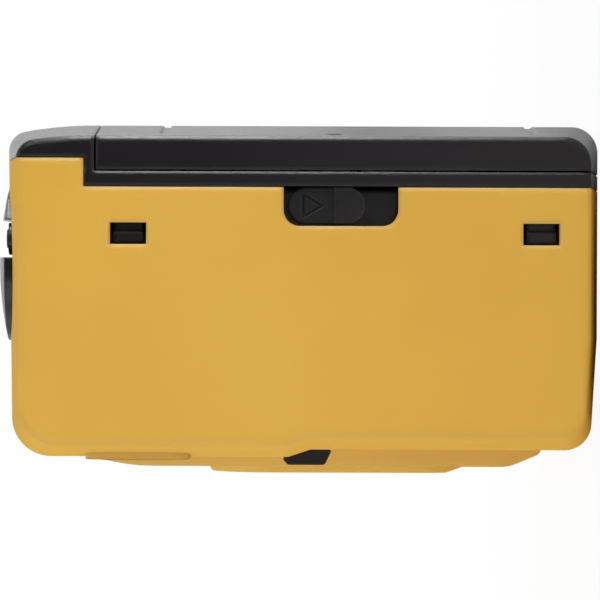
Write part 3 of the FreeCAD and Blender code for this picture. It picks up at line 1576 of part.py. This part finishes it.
def make_pressure_plate():
    """Plate on the door that presses the film flat on the rails."""
    y0 = film_y + plate_gap
    plate = soft_block(
        -plate_width / 2, plate_width / 2, y0, y0 + plate_thickness,
        axis_z - plate_height / 2, axis_z + plate_height / 2, "y", 2.0,
    )
    return plate


def make_plate_spring():
    """Bowed leaf spring between the door and the pressure plate."""
    y0 = film_y + plate_gap + plate_thickness + 0.02
    y1 = back_y - door_wall - 0.02
    reach = plate_spring_reach
    t = plate_spring
    low_z = axis_z - plate_spring_width / 2
    def bow(offset):
        start = Vector(-reach, y0 + offset, low_z)
        mid = Vector(0, y1 - t + offset, low_z)
        end = Vector(reach, y0 + offset, low_z)
        return Part.Arc(start, mid, end).toShape()
    low = bow(0)
    high = bow(t)
    left = Part.makeLine(low.Vertexes[0].Point, high.Vertexes[0].Point)
    right = Part.makeLine(low.Vertexes[1].Point, high.Vertexes[1].Point)
    face = Part.Face(Part.Wire([low, right, high, left]))
    return face.extrude(Vector(0, 0, plate_spring_width))


def make_screws():
    """Four cross-head screws from behind, one group."""
    screws = []
    head_y = frame_front_y + 1.52
    for x, z in post_places():
        screw = rod("y", x, z, screw_r, head_y - screw_length, head_y + 0.1)
        screw = screw.fuse(rod("y", x, z, screw_head_r, head_y, head_y + screw_head))
        for w, h in ((screw_slot / 2, 1.1), (1.1, screw_slot / 2)):
            screw = screw.cut(block(x - w, x + w, head_y + screw_head - 0.6, far, z - h, z + h))
        screws.append(screw)
    return Part.makeCompound(screws)


def make_strap_bar():
    """Steel bar across the strap pocket."""
    x = -half_width + strap_bar_inset + 0.6
    half = strap_length / 2 + strap_wall * 0.6
    return rod("z", x, strap_y, strap_bar_r, strap_z - half, strap_z + half)


pieces = {
    "front_shell": make_front_shell().cut(make_strap_bar()),
    "main_body": make_main_body(),
    "light_cone": make_light_cone(),
    "cassette_chamber": make_cassette_chamber(),
    "take_up_chamber": make_take_up_chamber(),
    "battery_holder": make_battery_holder(),
    "back_door": make_back_door(),
    "door_hinge_pin": make_hinge_pin(),
    "door_latch_slider": make_latch_slider(),
    "latch_spring": make_latch_spring(),
    "pressure_plate": make_pressure_plate(),
    "pressure_plate_spring": make_plate_spring(),
    "rewind_knob": make_rewind_knob(),
    "rewind_shaft": make_rewind_shaft(),
    "rewind_sleeve": make_rewind_sleeve(),
    "rewind_crank": make_rewind_crank(),
    "crank_pin": make_crank_pin(),
    "crank_finger_knob": make_finger_knob(),
    "shutter_button": make_shutter_button(),
    "shutter_button_spring": make_button_spring(),
    "release_lever": make_release_lever(),
    "release_lever_pin": make_lever_pin(),
    "lens_bezel": make_lens_bezel(),
    "lens_element": make_lens_element(),
    "lens_retainer": make_lens_retainer(),
    "shutter_plate": make_shutter_plate(),
    "shutter_blade": make_shutter_blade(),
    "shutter_spring": make_blade_spring(),
    "viewfinder_bezel": make_finder_bezel(),
    "viewfinder_front_lens": make_finder_front(),
    "viewfinder_eyepiece": make_finder_eyepiece(),
    "frame_counter_window": make_counter_window(),
    "frame_counter_dial": make_counter_dial(),
    "advance_wheel": make_advance_wheel(),
    "take_up_spool": make_take_up_spool(),
    "sprocket_shaft": make_sprocket_shaft(),
    "wheel_pawl": make_wheel_pawl(),
    "flash_window": make_flash_window(),
    "flash_reflector": make_flash_reflector(),
    "flash_tube": make_flash_tube(),
    "flash_circuit_board": make_circuit_board(),
    "flash_capacitor": make_capacitor(),
    "flash_switch": make_flash_switch(),
    "ready_lamp": make_ready_lamp(),
    "battery_cover": make_battery_cover(),
    "battery_cover_pin": make_cover_pin(),
    "battery_contact_upper": make_upper_contact(),
    "battery_contact_spring": make_lower_contact(),
    "rewind_release_button": make_release_button(),
    "rewind_release_spring": make_release_spring(),
    "body_screws": make_screws(),
    "strap_bar": make_strap_bar(),
}

for name, shape in pieces.items():
    box = shape.BoundBox
    print(name, "solids", len(shape.Solids), "volume", round(shape.Volume, 1), "valid", shape.isValid(),
          "x", round(box.XMin, 2), round(box.XMax, 2), "y", round(box.YMin, 2), round(box.YMax, 2),
          "z", round(box.ZMin, 2), round(box.ZMax, 2))
    shape.exportStep("parts/" + name + ".step")
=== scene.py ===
import bpy
import math
from mathutils import Matrix, Vector


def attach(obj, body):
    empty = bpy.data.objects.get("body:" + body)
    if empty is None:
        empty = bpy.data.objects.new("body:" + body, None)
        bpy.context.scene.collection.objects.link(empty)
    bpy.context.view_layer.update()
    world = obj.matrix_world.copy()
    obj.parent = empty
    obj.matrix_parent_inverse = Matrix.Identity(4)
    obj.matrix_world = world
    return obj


# Compact 35 mm film camera, seen on its end as in the photograph: back up, top to the left.
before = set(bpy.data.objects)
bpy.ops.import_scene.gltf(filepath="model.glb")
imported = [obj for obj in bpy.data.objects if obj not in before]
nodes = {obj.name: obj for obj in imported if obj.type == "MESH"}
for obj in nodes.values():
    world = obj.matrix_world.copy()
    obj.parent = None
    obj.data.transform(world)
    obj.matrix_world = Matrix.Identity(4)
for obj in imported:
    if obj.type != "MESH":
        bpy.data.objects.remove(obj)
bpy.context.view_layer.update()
print("frame loaded:", len(nodes), "nodes")


# small helpers

def linear(hexColour):
    # sRGB hex to the linear colour that shaders use
    values = [int(hexColour[i:i + 2], 16) / 255 for i in (1, 3, 5)]
    return tuple(v / 12.92 if v <= 0.04045 else ((v + 0.055) / 1.055) ** 2.4 for v in values) + (1.0,)


def perMm(size):
    # texture scale for a pattern whose features are this many millimetres apart
    return 1000.0 / size


def addNode(tree, kind, settings=None, links=None):
    # settings: an attribute, or a socket by name or number; links: socket -> source socket
    item = tree.nodes.new(kind)
    for key, value in (settings or {}).items():
        if isinstance(key, str) and hasattr(item, key):
            setattr(item, key, value)
    for key, value in (settings or {}).items():
        if not (isinstance(key, str) and hasattr(item, key)):
            item.inputs[key].default_value = value
    for key, source in (links or {}).items():
        tree.links.new(source, item.inputs[key])
    return item


def startMaterial(name):
    material = bpy.data.materials.new(name)
    material.use_nodes = True
    material.node_tree.nodes.clear()
    return material, material.node_tree


def finishMaterial(tree, shader):
    addNode(tree, "ShaderNodeOutputMaterial", {}, {"Surface": shader.outputs[0]})


def dress(material, *names):
    # gives CAD nodes their material
    for name in names:
        nodes[name].data.materials.clear()
        nodes[name].data.materials.append(material)


def softEdge(tree, radius):
    # moulded edges catch a thin line of light; also a mask that is 1 on edges, used to paint them paler as rubbed
    # wear and a painted highlight
    bevel = addNode(tree, "ShaderNodeBevel", {"samples": 4, "Radius": radius})
    flat = addNode(tree, "ShaderNodeNewGeometry")
    dot = addNode(tree, "ShaderNodeVectorMath", {"operation": "DOT_PRODUCT"},
                  {0: bevel.outputs[0], 1: flat.outputs["Normal"]})
    mask = addNode(tree, "ShaderNodeMapRange", {"From Min": 0.995, "From Max": 0.86, "To Min": 0.0, "To Max": 1.0},
                   {"Value": dot.outputs["Value"]})
    return bevel.outputs[0], mask.outputs[0]


# moulded plastics

def mouldedPlastic(look):
    # injection moulded: a fine tool grain, slow changes of tone where the melt flowed, edges painted paler as rubbed
    # wear and a painted highlight
    material, tree = startMaterial(look["name"])
    place = addNode(tree, "ShaderNodeTexCoord").outputs["Object"]
    bevel, edge = softEdge(tree, look["edgeMm"] / 1000)
    flow = addNode(tree, "ShaderNodeTexNoise", {"Scale": perMm(look["flowMm"]), "Detail": 3.0, "Roughness": 0.55},
                   {"Vector": place})
    tone = addNode(tree, "ShaderNodeMapRange", {"From Min": 0.36, "From Max": 0.66}, {"Value": flow.outputs[0]})
    body = addNode(tree, "ShaderNodeMix",
                   {"data_type": "RGBA", 6: linear(look["colour"]), 7: linear(look["deep"])}, {0: tone.outputs[0]})
    # edges painted paler: partly rubbed wear, partly a painted highlight where edges catch the light
    rubAndHighlightAmount = addNode(tree, "ShaderNodeMath", {"operation": "MULTIPLY", 1: look["edgeRubAndHighlight"]}, {0: edge})
    rubbedAndHighlit = addNode(tree, "ShaderNodeMix", {"data_type": "RGBA", 7: linear(look["edge"])},
                     {0: rubAndHighlightAmount.outputs[0], 6: body.outputs[2]})
    scuff = addNode(tree, "ShaderNodeTexNoise", {"Scale": perMm(look["scuffMm"]), "Detail": 8.0, "Roughness": 0.62},
                    {"Vector": place})
    gloss = addNode(tree, "ShaderNodeMapRange",
                    {"From Min": 0.3, "From Max": 0.72, "To Min": look["rough"] - look["roughSpread"],
                     "To Max": look["rough"] + look["roughSpread"]}, {"Value": scuff.outputs[0]})
    grain = addNode(tree, "ShaderNodeTexNoise", {"Scale": perMm(look["grainMm"]), "Detail": 4.0, "Roughness": 0.65},
                    {"Vector": place})
    relief = addNode(tree, "ShaderNodeBump", {"Strength": look["relief"], "Distance": look["reliefMm"] / 1000},
                     {"Height": grain.outputs[0], "Normal": bevel})
    shader = addNode(tree, "ShaderNodeBsdfPrincipled",
                     {"IOR": look["ior"], "Specular IOR Level": look["specular"]},
                     {"Base Color": rubbedAndHighlit.outputs[2], "Roughness": gloss.outputs[0], "Normal": relief.outputs[0]})
    if look["wax"] > 0:
        # a thin waxy gloss that stays the same at flat angles
        wax = addNode(tree, "ShaderNodeBsdfGlossy", {"Color": linear("#FFFFFF")},
                      {"Roughness": gloss.outputs[0], "Normal": relief.outputs[0]})
        shader = addNode(tree, "ShaderNodeMixShader", {0: look["wax"]}, {1: shader.outputs[0], 2: wax.outputs[0]})
    finishMaterial(tree, shader)
    return material


# yellow ABS, moulded with a fine satin grain: warm and even, paler where an edge catches the light
yellowLook = {
    "name": "yellow ABS, moulded satin", "colour": "#D7A942", "deep": "#D3A43E", "edge": "#E4C27A",
    "edgeMm": 0.9, "edgeRubAndHighlight": 0.3, "flowMm": 26.0, "scuffMm": 7.0, "grainMm": 0.42, "relief": 0.1,
    "reliefMm": 0.015, "rough": 0.36, "roughSpread": 0.03, "ior": 1.5, "specular": 0.0, "wax": 0.03,
}
# black ABS with a coarser spark-eroded grain: dull, with a broad soft sheen
blackLook = {
    "name": "black ABS, grained", "colour": "#0F0B0F", "deep": "#120E12", "edge": "#454347",
    "edgeMm": 0.6, "edgeRubAndHighlight": 0.2, "flowMm": 22.0, "scuffMm": 5.0, "grainMm": 0.34, "relief": 0.2,
    "reliefMm": 0.02, "rough": 0.26, "roughSpread": 0.015, "ior": 1.5, "specular": 0.36, "wax": 0.0,
}
# small black parts: smoother acetal, slightly deeper black
fittingLook = {
    "name": "black acetal, smooth", "colour": "#110E11", "deep": "#151215", "edge": "#454347",
    "edgeMm": 0.3, "edgeRubAndHighlight": 0.25, "flowMm": 9.0, "scuffMm": 2.4, "grainMm": 0.3, "relief": 0.2,
    "reliefMm": 0.015, "rough": 0.3, "roughSpread": 0.03, "ior": 1.48, "specular": 0.4, "wax": 0.0,
}
# polished black polycarbonate round the lens: clear reflections
polishedLook = {
    "name": "black polycarbonate, polished", "colour": "#111012", "deep": "#171619", "edge": "#4A494D",
    "edgeMm": 0.2, "edgeRubAndHighlight": 0.3, "flowMm": 8.0, "scuffMm": 3.0, "grainMm": 0.5, "relief": 0.08,
    "reliefMm": 0.01, "rough": 0.16, "roughSpread": 0.04, "ior": 1.58, "specular": 0.5, "wax": 0.0,
}

yellowAbs = mouldedPlastic(yellowLook)
blackAbs = mouldedPlastic(blackLook)
blackAcetal = mouldedPlastic(fittingLook)
polishedBlack = mouldedPlastic(polishedLook)
dress(yellowAbs, "front_shell", "battery_cover")
dress(blackAbs, "main_body", "back_door", "light_cone", "cassette_chamber", "take_up_chamber",
      "battery_holder")
dress(blackAcetal, "door_latch_slider", "rewind_knob", "rewind_crank", "crank_finger_knob", "rewind_sleeve",
      "shutter_button", "release_lever", "viewfinder_bezel", "advance_wheel", "take_up_spool",
      "sprocket_shaft", "flash_switch", "rewind_release_button")
dress(polishedBlack, "lens_bezel", "lens_retainer", "shutter_plate")
print("plastics done")


# metals

def sheetMetal(look):
    # rolled or drawn stock: faint lines one way, small dull patches
    material, tree = startMaterial(look["name"])
    place = addNode(tree, "ShaderNodeTexCoord").outputs["Object"]
    bevel, edge = softEdge(tree, look["edgeMm"] / 1000)
    stretch = addNode(tree, "ShaderNodeMapping", {"Scale": look["stretch"]}, {"Vector": place})
    lines = addNode(tree, "ShaderNodeTexNoise", {"Scale": perMm(look["lineMm"]), "Detail": 5.0, "Roughness": 0.6},
                    {"Vector": stretch.outputs[0]})
    patches = addNode(tree, "ShaderNodeTexNoise", {"Scale": perMm(look["patchMm"]), "Detail": 5.0, "Roughness": 0.6},
                      {"Vector": place})
    tone = addNode(tree, "ShaderNodeMix",
                   {"data_type": "RGBA", 6: linear(look["colour"]), 7: linear(look["dull"])},
                   {0: patches.outputs[0]})
    dullness = addNode(tree, "ShaderNodeMapRange",
                       {"From Min": 0.3, "From Max": 0.7, "To Min": look["rough"] - 0.06,
                        "To Max": look["rough"] + 0.1}, {"Value": patches.outputs[0]})
    relief = addNode(tree, "ShaderNodeBump", {"Strength": look["relief"], "Distance": 0.00002},
                     {"Height": lines.outputs[0], "Normal": bevel})
    shader = addNode(tree, "ShaderNodeBsdfPrincipled", {"Metallic": look["metallic"]},
                     {"Base Color": tone.outputs[2], "Roughness": dullness.outputs[0], "Normal": relief.outputs[0]})
    finishMaterial(tree, shader)
    return material


# nickel-plated steel: bright grey with fine drawing lines
platedSteel = sheetMetal({
    "name": "nickel-plated steel", "colour": "#C4C2BD", "dull": "#A9A7A4", "edgeMm": 0.1, "stretch": (1, 1, 0.08),
    "lineMm": 0.25, "patchMm": 3.0, "rough": 0.28, "relief": 0.3, "metallic": 1.0,
})
# blackened spring steel: nearly black, oily sheen
blackSteel = sheetMetal({
    "name": "blackened steel sheet", "colour": "#3A3A3E", "dull": "#2A2A2E", "edgeMm": 0.05, "stretch": (1, 0.1, 1),
    "lineMm": 0.3, "patchMm": 2.0, "rough": 0.38, "relief": 0.25, "metallic": 1.0,
})
# bright foil behind the flash tube: slightly crinkled mirror
brightFoil = sheetMetal({
    "name": "bright aluminium foil", "colour": "#E9E9EA", "dull": "#DADADC", "edgeMm": 0.1, "stretch": (0.2, 1, 1),
    "lineMm": 1.2, "patchMm": 2.2, "rough": 0.14, "relief": 0.5, "metallic": 1.0,
})
dress(platedSteel, "door_hinge_pin", "latch_spring", "pressure_plate", "pressure_plate_spring", "rewind_shaft",
      "crank_pin", "shutter_button_spring", "release_lever_pin", "shutter_spring", "wheel_pawl",
      "battery_cover_pin", "battery_contact_upper", "battery_contact_spring", "rewind_release_spring",
      "body_screws", "strap_bar")
dress(blackSteel, "shutter_blade")
dress(brightFoil, "flash_reflector")
print("metals done")


# clear parts

def clearPlastic(look):
    # clear moulding: sharp highlights, a trace of waviness, a little tint in its depth
    material, tree = startMaterial(look["name"])
    place = addNode(tree, "ShaderNodeTexCoord").outputs["Object"]
    wave = addNode(tree, "ShaderNodeTexNoise", {"Scale": perMm(look["waveMm"]), "Detail": 2.0}, {"Vector": place})
    dust = addNode(tree, "ShaderNodeTexNoise", {"Scale": perMm(0.6), "Detail": 6.0, "Roughness": 0.7},
                   {"Vector": place})
    rough = addNode(tree, "ShaderNodeMapRange",
                    {"From Min": 0.45, "From Max": 0.8, "To Min": look["rough"], "To Max": look["rough"] + 0.12},
                    {"Value": dust.outputs[0]})
    relief = addNode(tree, "ShaderNodeBump", {"Strength": 0.12, "Distance": 0.00002}, {"Height": wave.outputs[0]})
    shader = addNode(tree, "ShaderNodeBsdfPrincipled",
                     {"Base Color": linear(look["colour"]), "IOR": look["ior"],
                      "Transmission Weight": look["clear"]},
                     {"Roughness": rough.outputs[0], "Normal": relief.outputs[0]})
    finishMaterial(tree, shader)
    return material


# acrylic lenses and windows: nearly colourless
acrylic = clearPlastic({
    "name": "clear acrylic", "colour": "#F2F6F7", "ior": 1.49, "clear": 1.0, "rough": 0.015, "waveMm": 4.0,
})
# coated taking lens: a faint blue-violet cast
coatedLens = clearPlastic({
    "name": "coated acrylic lens", "colour": "#D9DEF2", "ior": 1.49, "clear": 0.95, "rough": 0.01, "waveMm": 6.0,
})
# xenon tube: clear glass
tubeGlass = clearPlastic({
    "name": "borosilicate tube", "colour": "#EEF3F1", "ior": 1.47, "clear": 0.9, "rough": 0.03, "waveMm": 2.0,
})
# tinted polystyrene lamp: amber, light comes through
amberStyrene = clearPlastic({
    "name": "amber polystyrene", "colour": "#E0701C", "ior": 1.59, "clear": 0.55, "rough": 0.12, "waveMm": 1.0,
})
dress(acrylic, "viewfinder_front_lens", "viewfinder_eyepiece", "frame_counter_window", "flash_window")
dress(coatedLens, "lens_element")
dress(tubeGlass, "flash_tube")
dress(amberStyrene, "ready_lamp")
print("clear parts done")


# flash electronics

boardLook = {"lacquer": "#1F6B33", "shade": "#17552A", "copper": "#3E8A48", "solder": "#B9BBBD",
             "trackMm": 2.1, "padMm": 1.6}


def lacqueredBoard(look):
    # green lacquer over copper: raised tracks in a paler green, small solder pads
    material, tree = startMaterial("lacquered circuit board")
    place = addNode(tree, "ShaderNodeTexCoord").outputs["Object"]
    turned = addNode(tree, "ShaderNodeMapping", {"Rotation": (math.pi / 2, 0, 0)}, {"Vector": place})
    tracks = addNode(tree, "ShaderNodeTexBrick",
                     {"Scale": perMm(look["trackMm"]), "Mortar Size": 0.06, "Mortar Smooth": 0.2,
                      "Brick Width": 2.2, "Row Height": 0.5, "Color1": linear(look["lacquer"]),
                      "Color2": linear(look["shade"]), "Mortar": linear(look["copper"])},
                     {"Vector": turned.outputs[0]})
    pads = addNode(tree, "ShaderNodeTexVoronoi", {"Scale": perMm(look["padMm"]), "Randomness": 0.55},
                   {"Vector": turned.outputs[0]})
    pad = addNode(tree, "ShaderNodeMath", {"operation": "LESS_THAN", 1: 0.2}, {0: pads.outputs["Distance"]})
    colour = addNode(tree, "ShaderNodeMix", {"data_type": "RGBA", 7: linear(look["solder"])},
                     {0: pad.outputs[0], 6: tracks.outputs["Color"]})
    relief = addNode(tree, "ShaderNodeBump", {"Strength": 0.6, "Distance": 0.00006},
                     {"Height": tracks.outputs["Fac"]})
    shader = addNode(tree, "ShaderNodeBsdfPrincipled", {"Roughness": 0.3, "IOR": 1.5},
                     {"Base Color": colour.outputs[2], "Metallic": pad.outputs[0], "Normal": relief.outputs[0]})
    finishMaterial(tree, shader)
    return material


sleeveLook = {"sleeve": "#1B2350", "stripe": "#B8BCC8", "stripeMm": 1.6, "endMm": 36.4}


def shrunkSleeve(look):
    # PVC sleeve shrunk over an aluminium can: dark blue gloss, a pale polarity stripe, bare metal at the end
    material, tree = startMaterial("shrunk PVC sleeve")
    place = addNode(tree, "ShaderNodeTexCoord").outputs["Object"]
    parts = addNode(tree, "ShaderNodeSeparateXYZ", {}, {0: place})
    aside = addNode(tree, "ShaderNodeMath", {"operation": "SUBTRACT", 1: 0.020}, {0: parts.outputs["X"]})
    size = addNode(tree, "ShaderNodeMath", {"operation": "ABSOLUTE"}, {0: aside.outputs[0]})
    stripe = addNode(tree, "ShaderNodeMath", {"operation": "LESS_THAN", 1: look["stripeMm"] / 2000},
                     {0: size.outputs[0]})
    end = addNode(tree, "ShaderNodeMath", {"operation": "GREATER_THAN", 1: look["endMm"] / 1000},
                  {0: parts.outputs["Z"]})
    pale = addNode(tree, "ShaderNodeMath", {"operation": "MAXIMUM"}, {0: stripe.outputs[0], 1: end.outputs[0]})
    wrinkle = addNode(tree, "ShaderNodeTexNoise", {"Scale": perMm(1.4), "Detail": 4.0}, {"Vector": place})
    colour = addNode(tree, "ShaderNodeMix",
                     {"data_type": "RGBA", 6: linear(look["sleeve"]), 7: linear(look["stripe"])},
                     {0: pale.outputs[0]})
    relief = addNode(tree, "ShaderNodeBump", {"Strength": 0.3, "Distance": 0.00005}, {"Height": wrinkle.outputs[0]})
    shader = addNode(tree, "ShaderNodeBsdfPrincipled", {"Roughness": 0.25, "IOR": 1.53},
                     {"Base Color": colour.outputs[2], "Metallic": end.outputs[0], "Normal": relief.outputs[0]})
    finishMaterial(tree, shader)
    return material


dress(lacqueredBoard(boardLook), "flash_circuit_board")
dress(shrunkSleeve(sleeveLook), "flash_capacitor")
print("flash electronics done")


# frame counter

counterLook = {
    "face": "#EDECE6", "ink": "#1C1B1D", "centre": (-15.0, 6.6), "topZ": 60.3, "numberRadius": 3.75,
    "numberSize": 1.75, "numbers": ["0", "4", "8", "12", "16", "20", "24", "28", "32", "36"],
    "tickIn": 4.75, "ticks": 40,
}


def countedDial(look):
    # white styrene, pad printed: forty short ticks near the rim
    material, tree = startMaterial("white styrene, printed")
    place = addNode(tree, "ShaderNodeTexCoord").outputs["Object"]
    x, y = look["centre"]
    centred = addNode(tree, "ShaderNodeMapping", {"Location": (-x / 1000, -y / 1000, 0)}, {"Vector": place})
    parts = addNode(tree, "ShaderNodeSeparateXYZ", {}, {0: centred.outputs[0]})
    angle = addNode(tree, "ShaderNodeMath", {"operation": "ARCTAN2"}, {0: parts.outputs["Y"], 1: parts.outputs["X"]})
    around = addNode(tree, "ShaderNodeMath", {"operation": "MULTIPLY", 1: look["ticks"] / (2 * math.pi)},
                     {0: angle.outputs[0]})
    share = addNode(tree, "ShaderNodeMath", {"operation": "PINGPONG", 1: 0.5}, {0: around.outputs[0]})
    thin = addNode(tree, "ShaderNodeMath", {"operation": "LESS_THAN", 1: 0.14}, {0: share.outputs[0]})
    flat = addNode(tree, "ShaderNodeVectorMath", {"operation": "MULTIPLY", 1: (1, 1, 0)}, {0: centred.outputs[0]})
    radius = addNode(tree, "ShaderNodeVectorMath", {"operation": "LENGTH"}, {0: flat.outputs[0]})
    ring = addNode(tree, "ShaderNodeMath", {"operation": "GREATER_THAN", 1: look["tickIn"] / 1000},
                   {0: radius.outputs["Value"]})
    mark = addNode(tree, "ShaderNodeMath", {"operation": "MULTIPLY"}, {0: thin.outputs[0], 1: ring.outputs[0]})
    grain = addNode(tree, "ShaderNodeTexNoise", {"Scale": perMm(0.4), "Detail": 3.0}, {"Vector": place})
    colour = addNode(tree, "ShaderNodeMix", {"data_type": "RGBA", 6: linear(look["face"]), 7: linear(look["ink"])},
                     {0: mark.outputs[0]})
    relief = addNode(tree, "ShaderNodeBump", {"Strength": 0.15, "Distance": 0.00002}, {"Height": grain.outputs[0]})
    shader = addNode(tree, "ShaderNodeBsdfPrincipled", {"Roughness": 0.45, "IOR": 1.55},
                     {"Base Color": colour.outputs[2], "Normal": relief.outputs[0]})
    finishMaterial(tree, shader)
    return material


def printInk():
    # pad-printing ink: flat black, slightly uneven at its edges
    material, tree = startMaterial("black printing ink")
    place = addNode(tree, "ShaderNodeTexCoord").outputs["Object"]
    speck = addNode(tree, "ShaderNodeTexNoise", {"Scale": perMm(0.3), "Detail": 3.0}, {"Vector": place})
    tone = addNode(tree, "ShaderNodeMix", {"data_type": "RGBA", 6: linear("#19181A"), 7: linear("#2B2A2D")},
                   {0: speck.outputs[0]})
    shader = addNode(tree, "ShaderNodeBsdfPrincipled", {"Roughness": 0.55, "IOR": 1.5},
                     {"Base Color": tone.outputs[2]})
    finishMaterial(tree, shader)
    return material


ink = printInk()
dress(countedDial(counterLook), "frame_counter_dial")
for i, words in enumerate(counterLook["numbers"]):
    angle = 2 * math.pi * i / len(counterLook["numbers"]) - math.pi / 2   # the first one stands in the window
    curve = bpy.data.curves.new("counterNumber" + words, "FONT")
    curve.body = words
    curve.size = counterLook["numberSize"] / 1000
    curve.align_x = "CENTER"
    curve.align_y = "CENTER"
    curve.extrude = 0.00002
    number = bpy.data.objects.new("counter_number_" + words, curve)
    bpy.context.scene.collection.objects.link(number)
    x = counterLook["centre"][0] + counterLook["numberRadius"] * math.cos(angle)
    y = counterLook["centre"][1] + counterLook["numberRadius"] * math.sin(angle)
    number.location = (x / 1000, y / 1000, counterLook["topZ"] / 1000)
    number.rotation_euler = (0, 0, angle - math.pi / 2)
    curve.materials.append(ink)
    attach(number, "frame_counter")
print("frame counter done")


# floor, light and camera

studio = {
    "floorSize": 6.0, "floorColour": "#F4F4F4", "shadowShare": 0.94,
    "worldColour": "#FFFFFF", "worldNear": 0.11, "worldFar": 1.0,
    "lamps": [
        # name, place, width, height, power
        ("stripSoftbox", (0.04, 0.88, 0.08), 0.85, 0.12, 8.5),
        ("endSoftbox", (0.8, 0.72, 0.35), 0.35, 0.35, 3.2),
        ("lowSoftbox", (0.85, -0.75, 0.35), 0.7, 0.7, 3.2),
        ("topSoftbox", (0.1, 0.1, 1.15), 1.1, 1.1, 3.2),
        ("frontSoftbox", (0.1, -1.0, 0.4), 0.9, 0.9, 3.0),
    ],
}


def backgroundRay(tree):
    # 1 for rays that should see the plain white surroundings, straight or through a clear part
    path = addNode(tree, "ShaderNodeLightPath")
    return addNode(tree, "ShaderNodeMath", {"operation": "MAXIMUM"},
                   {0: path.outputs["Is Camera Ray"], 1: path.outputs["Is Transmission Ray"]}).outputs[0]


def makeFloor(look):
    # white paper roll: plain, keeps a faint shadow
    size = look["floorSize"] / 2
    mesh = bpy.data.meshes.new("paperFloor")
    mesh.from_pydata([(-size, -size, 0), (size, -size, 0), (size, size, 0), (-size, size, 0)], [], [(0, 1, 2, 3)])
    floor = bpy.data.objects.new("paper_floor", mesh)
    floor.location.z = -0.0002
    bpy.context.scene.collection.objects.link(floor)
    material, tree = startMaterial("white paper")
    place = addNode(tree, "ShaderNodeTexCoord").outputs["Object"]
    fibre = addNode(tree, "ShaderNodeTexNoise", {"Scale": perMm(0.8), "Detail": 3.0}, {"Vector": place})
    relief = addNode(tree, "ShaderNodeBump", {"Strength": 0.1, "Distance": 0.00005}, {"Height": fibre.outputs[0]})
    paper = addNode(tree, "ShaderNodeBsdfDiffuse", {"Color": linear(look["floorColour"])},
                    {"Normal": relief.outputs[0]})
    white = addNode(tree, "ShaderNodeEmission", {"Color": linear("#FFFFFF"), "Strength": 1.0})
    away = addNode(tree, "ShaderNodeVectorMath", {"operation": "LENGTH"}, {0: place})
    plain = addNode(tree, "ShaderNodeMapRange",
                    {"From Min": 0.1, "From Max": 0.3, "To Min": look["shadowShare"], "To Max": 1.0},
                    {"Value": away.outputs["Value"]})
    share = addNode(tree, "ShaderNodeMath", {"operation": "MULTIPLY"}, {0: backgroundRay(tree), 1: plain.outputs[0]})
    mixed = addNode(tree, "ShaderNodeMixShader", {}, {0: share.outputs[0], 1: paper.outputs[0], 2: white.outputs[0]})
    finishMaterial(tree, mixed)
    mesh.materials.append(material)


def makeWorld(look):
    world = bpy.data.worlds.new("studio")
    world.use_nodes = True
    bpy.context.scene.world = world
    tree = world.node_tree
    tree.nodes.clear()
    # the white sweep stands behind the camera's far end, so the room is bright there and dim at the near end
    direction = addNode(tree, "ShaderNodeTexCoord").outputs["Generated"]
    toward = addNode(tree, "ShaderNodeSeparateXYZ", {}, {0: direction}).outputs["X"]
    room = addNode(tree, "ShaderNodeMapRange",
                   {"From Min": -0.7, "From Max": 0.5, "To Min": look["worldFar"], "To Max": look["worldNear"]},
                   {"Value": toward})
    strength = addNode(tree, "ShaderNodeMapRange", {"To Max": 1.0},
                       {"Value": backgroundRay(tree), "To Min": room.outputs[0]})
    sky = addNode(tree, "ShaderNodeBackground", {"Color": linear(look["worldColour"])},
                  {"Strength": strength.outputs[0]})
    addNode(tree, "ShaderNodeOutputWorld", {}, {"Surface": sky.outputs[0]})


def makeLamps(look):
    target = Vector((0, 0, 0.03))
    for name, place, width, height, power in look["lamps"]:
        lamp = bpy.data.lights.new(name, "AREA")
        lamp.shape = "RECTANGLE"
        lamp.size = width
        lamp.size_y = height
        lamp.energy = power
        item = bpy.data.objects.new(name, lamp)
        item.location = place
        item.rotation_euler = (target - Vector(place)).to_track_quat("-Z", "Y").to_euler()
        bpy.context.scene.collection.objects.link(item)


cameraLook = {"distance": 0.458, "height": 0.03178, "lens": 231.5, "roll": 0.2}


def makeCamera(look):
    # looks at the end with the rewind knob; the back of the camera is up in the picture, as photographed
    data = bpy.data.cameras.new("photoCamera")
    data.sensor_width = 36.0
    data.lens = look["lens"]
    data.clip_start = 0.01
    data.clip_end = 20.0
    camera = bpy.data.objects.new("photoCamera", data)
    turned = Matrix(((0, 0, 1, look["distance"]), (0, 1, 0, 0), (-1, 0, 0, look["height"]), (0, 0, 0, 1)))
    camera.matrix_world = turned @ Matrix.Rotation(math.radians(look["roll"]), 4, "Z")
    bpy.context.scene.collection.objects.link(camera)
    bpy.context.scene.camera = camera


makeFloor(studio)
makeWorld(studio)
makeLamps(studio)
makeCamera(cameraLook)
bpy.context.scene.view_settings.view_transform = "Standard"
print("floor, light and camera done")
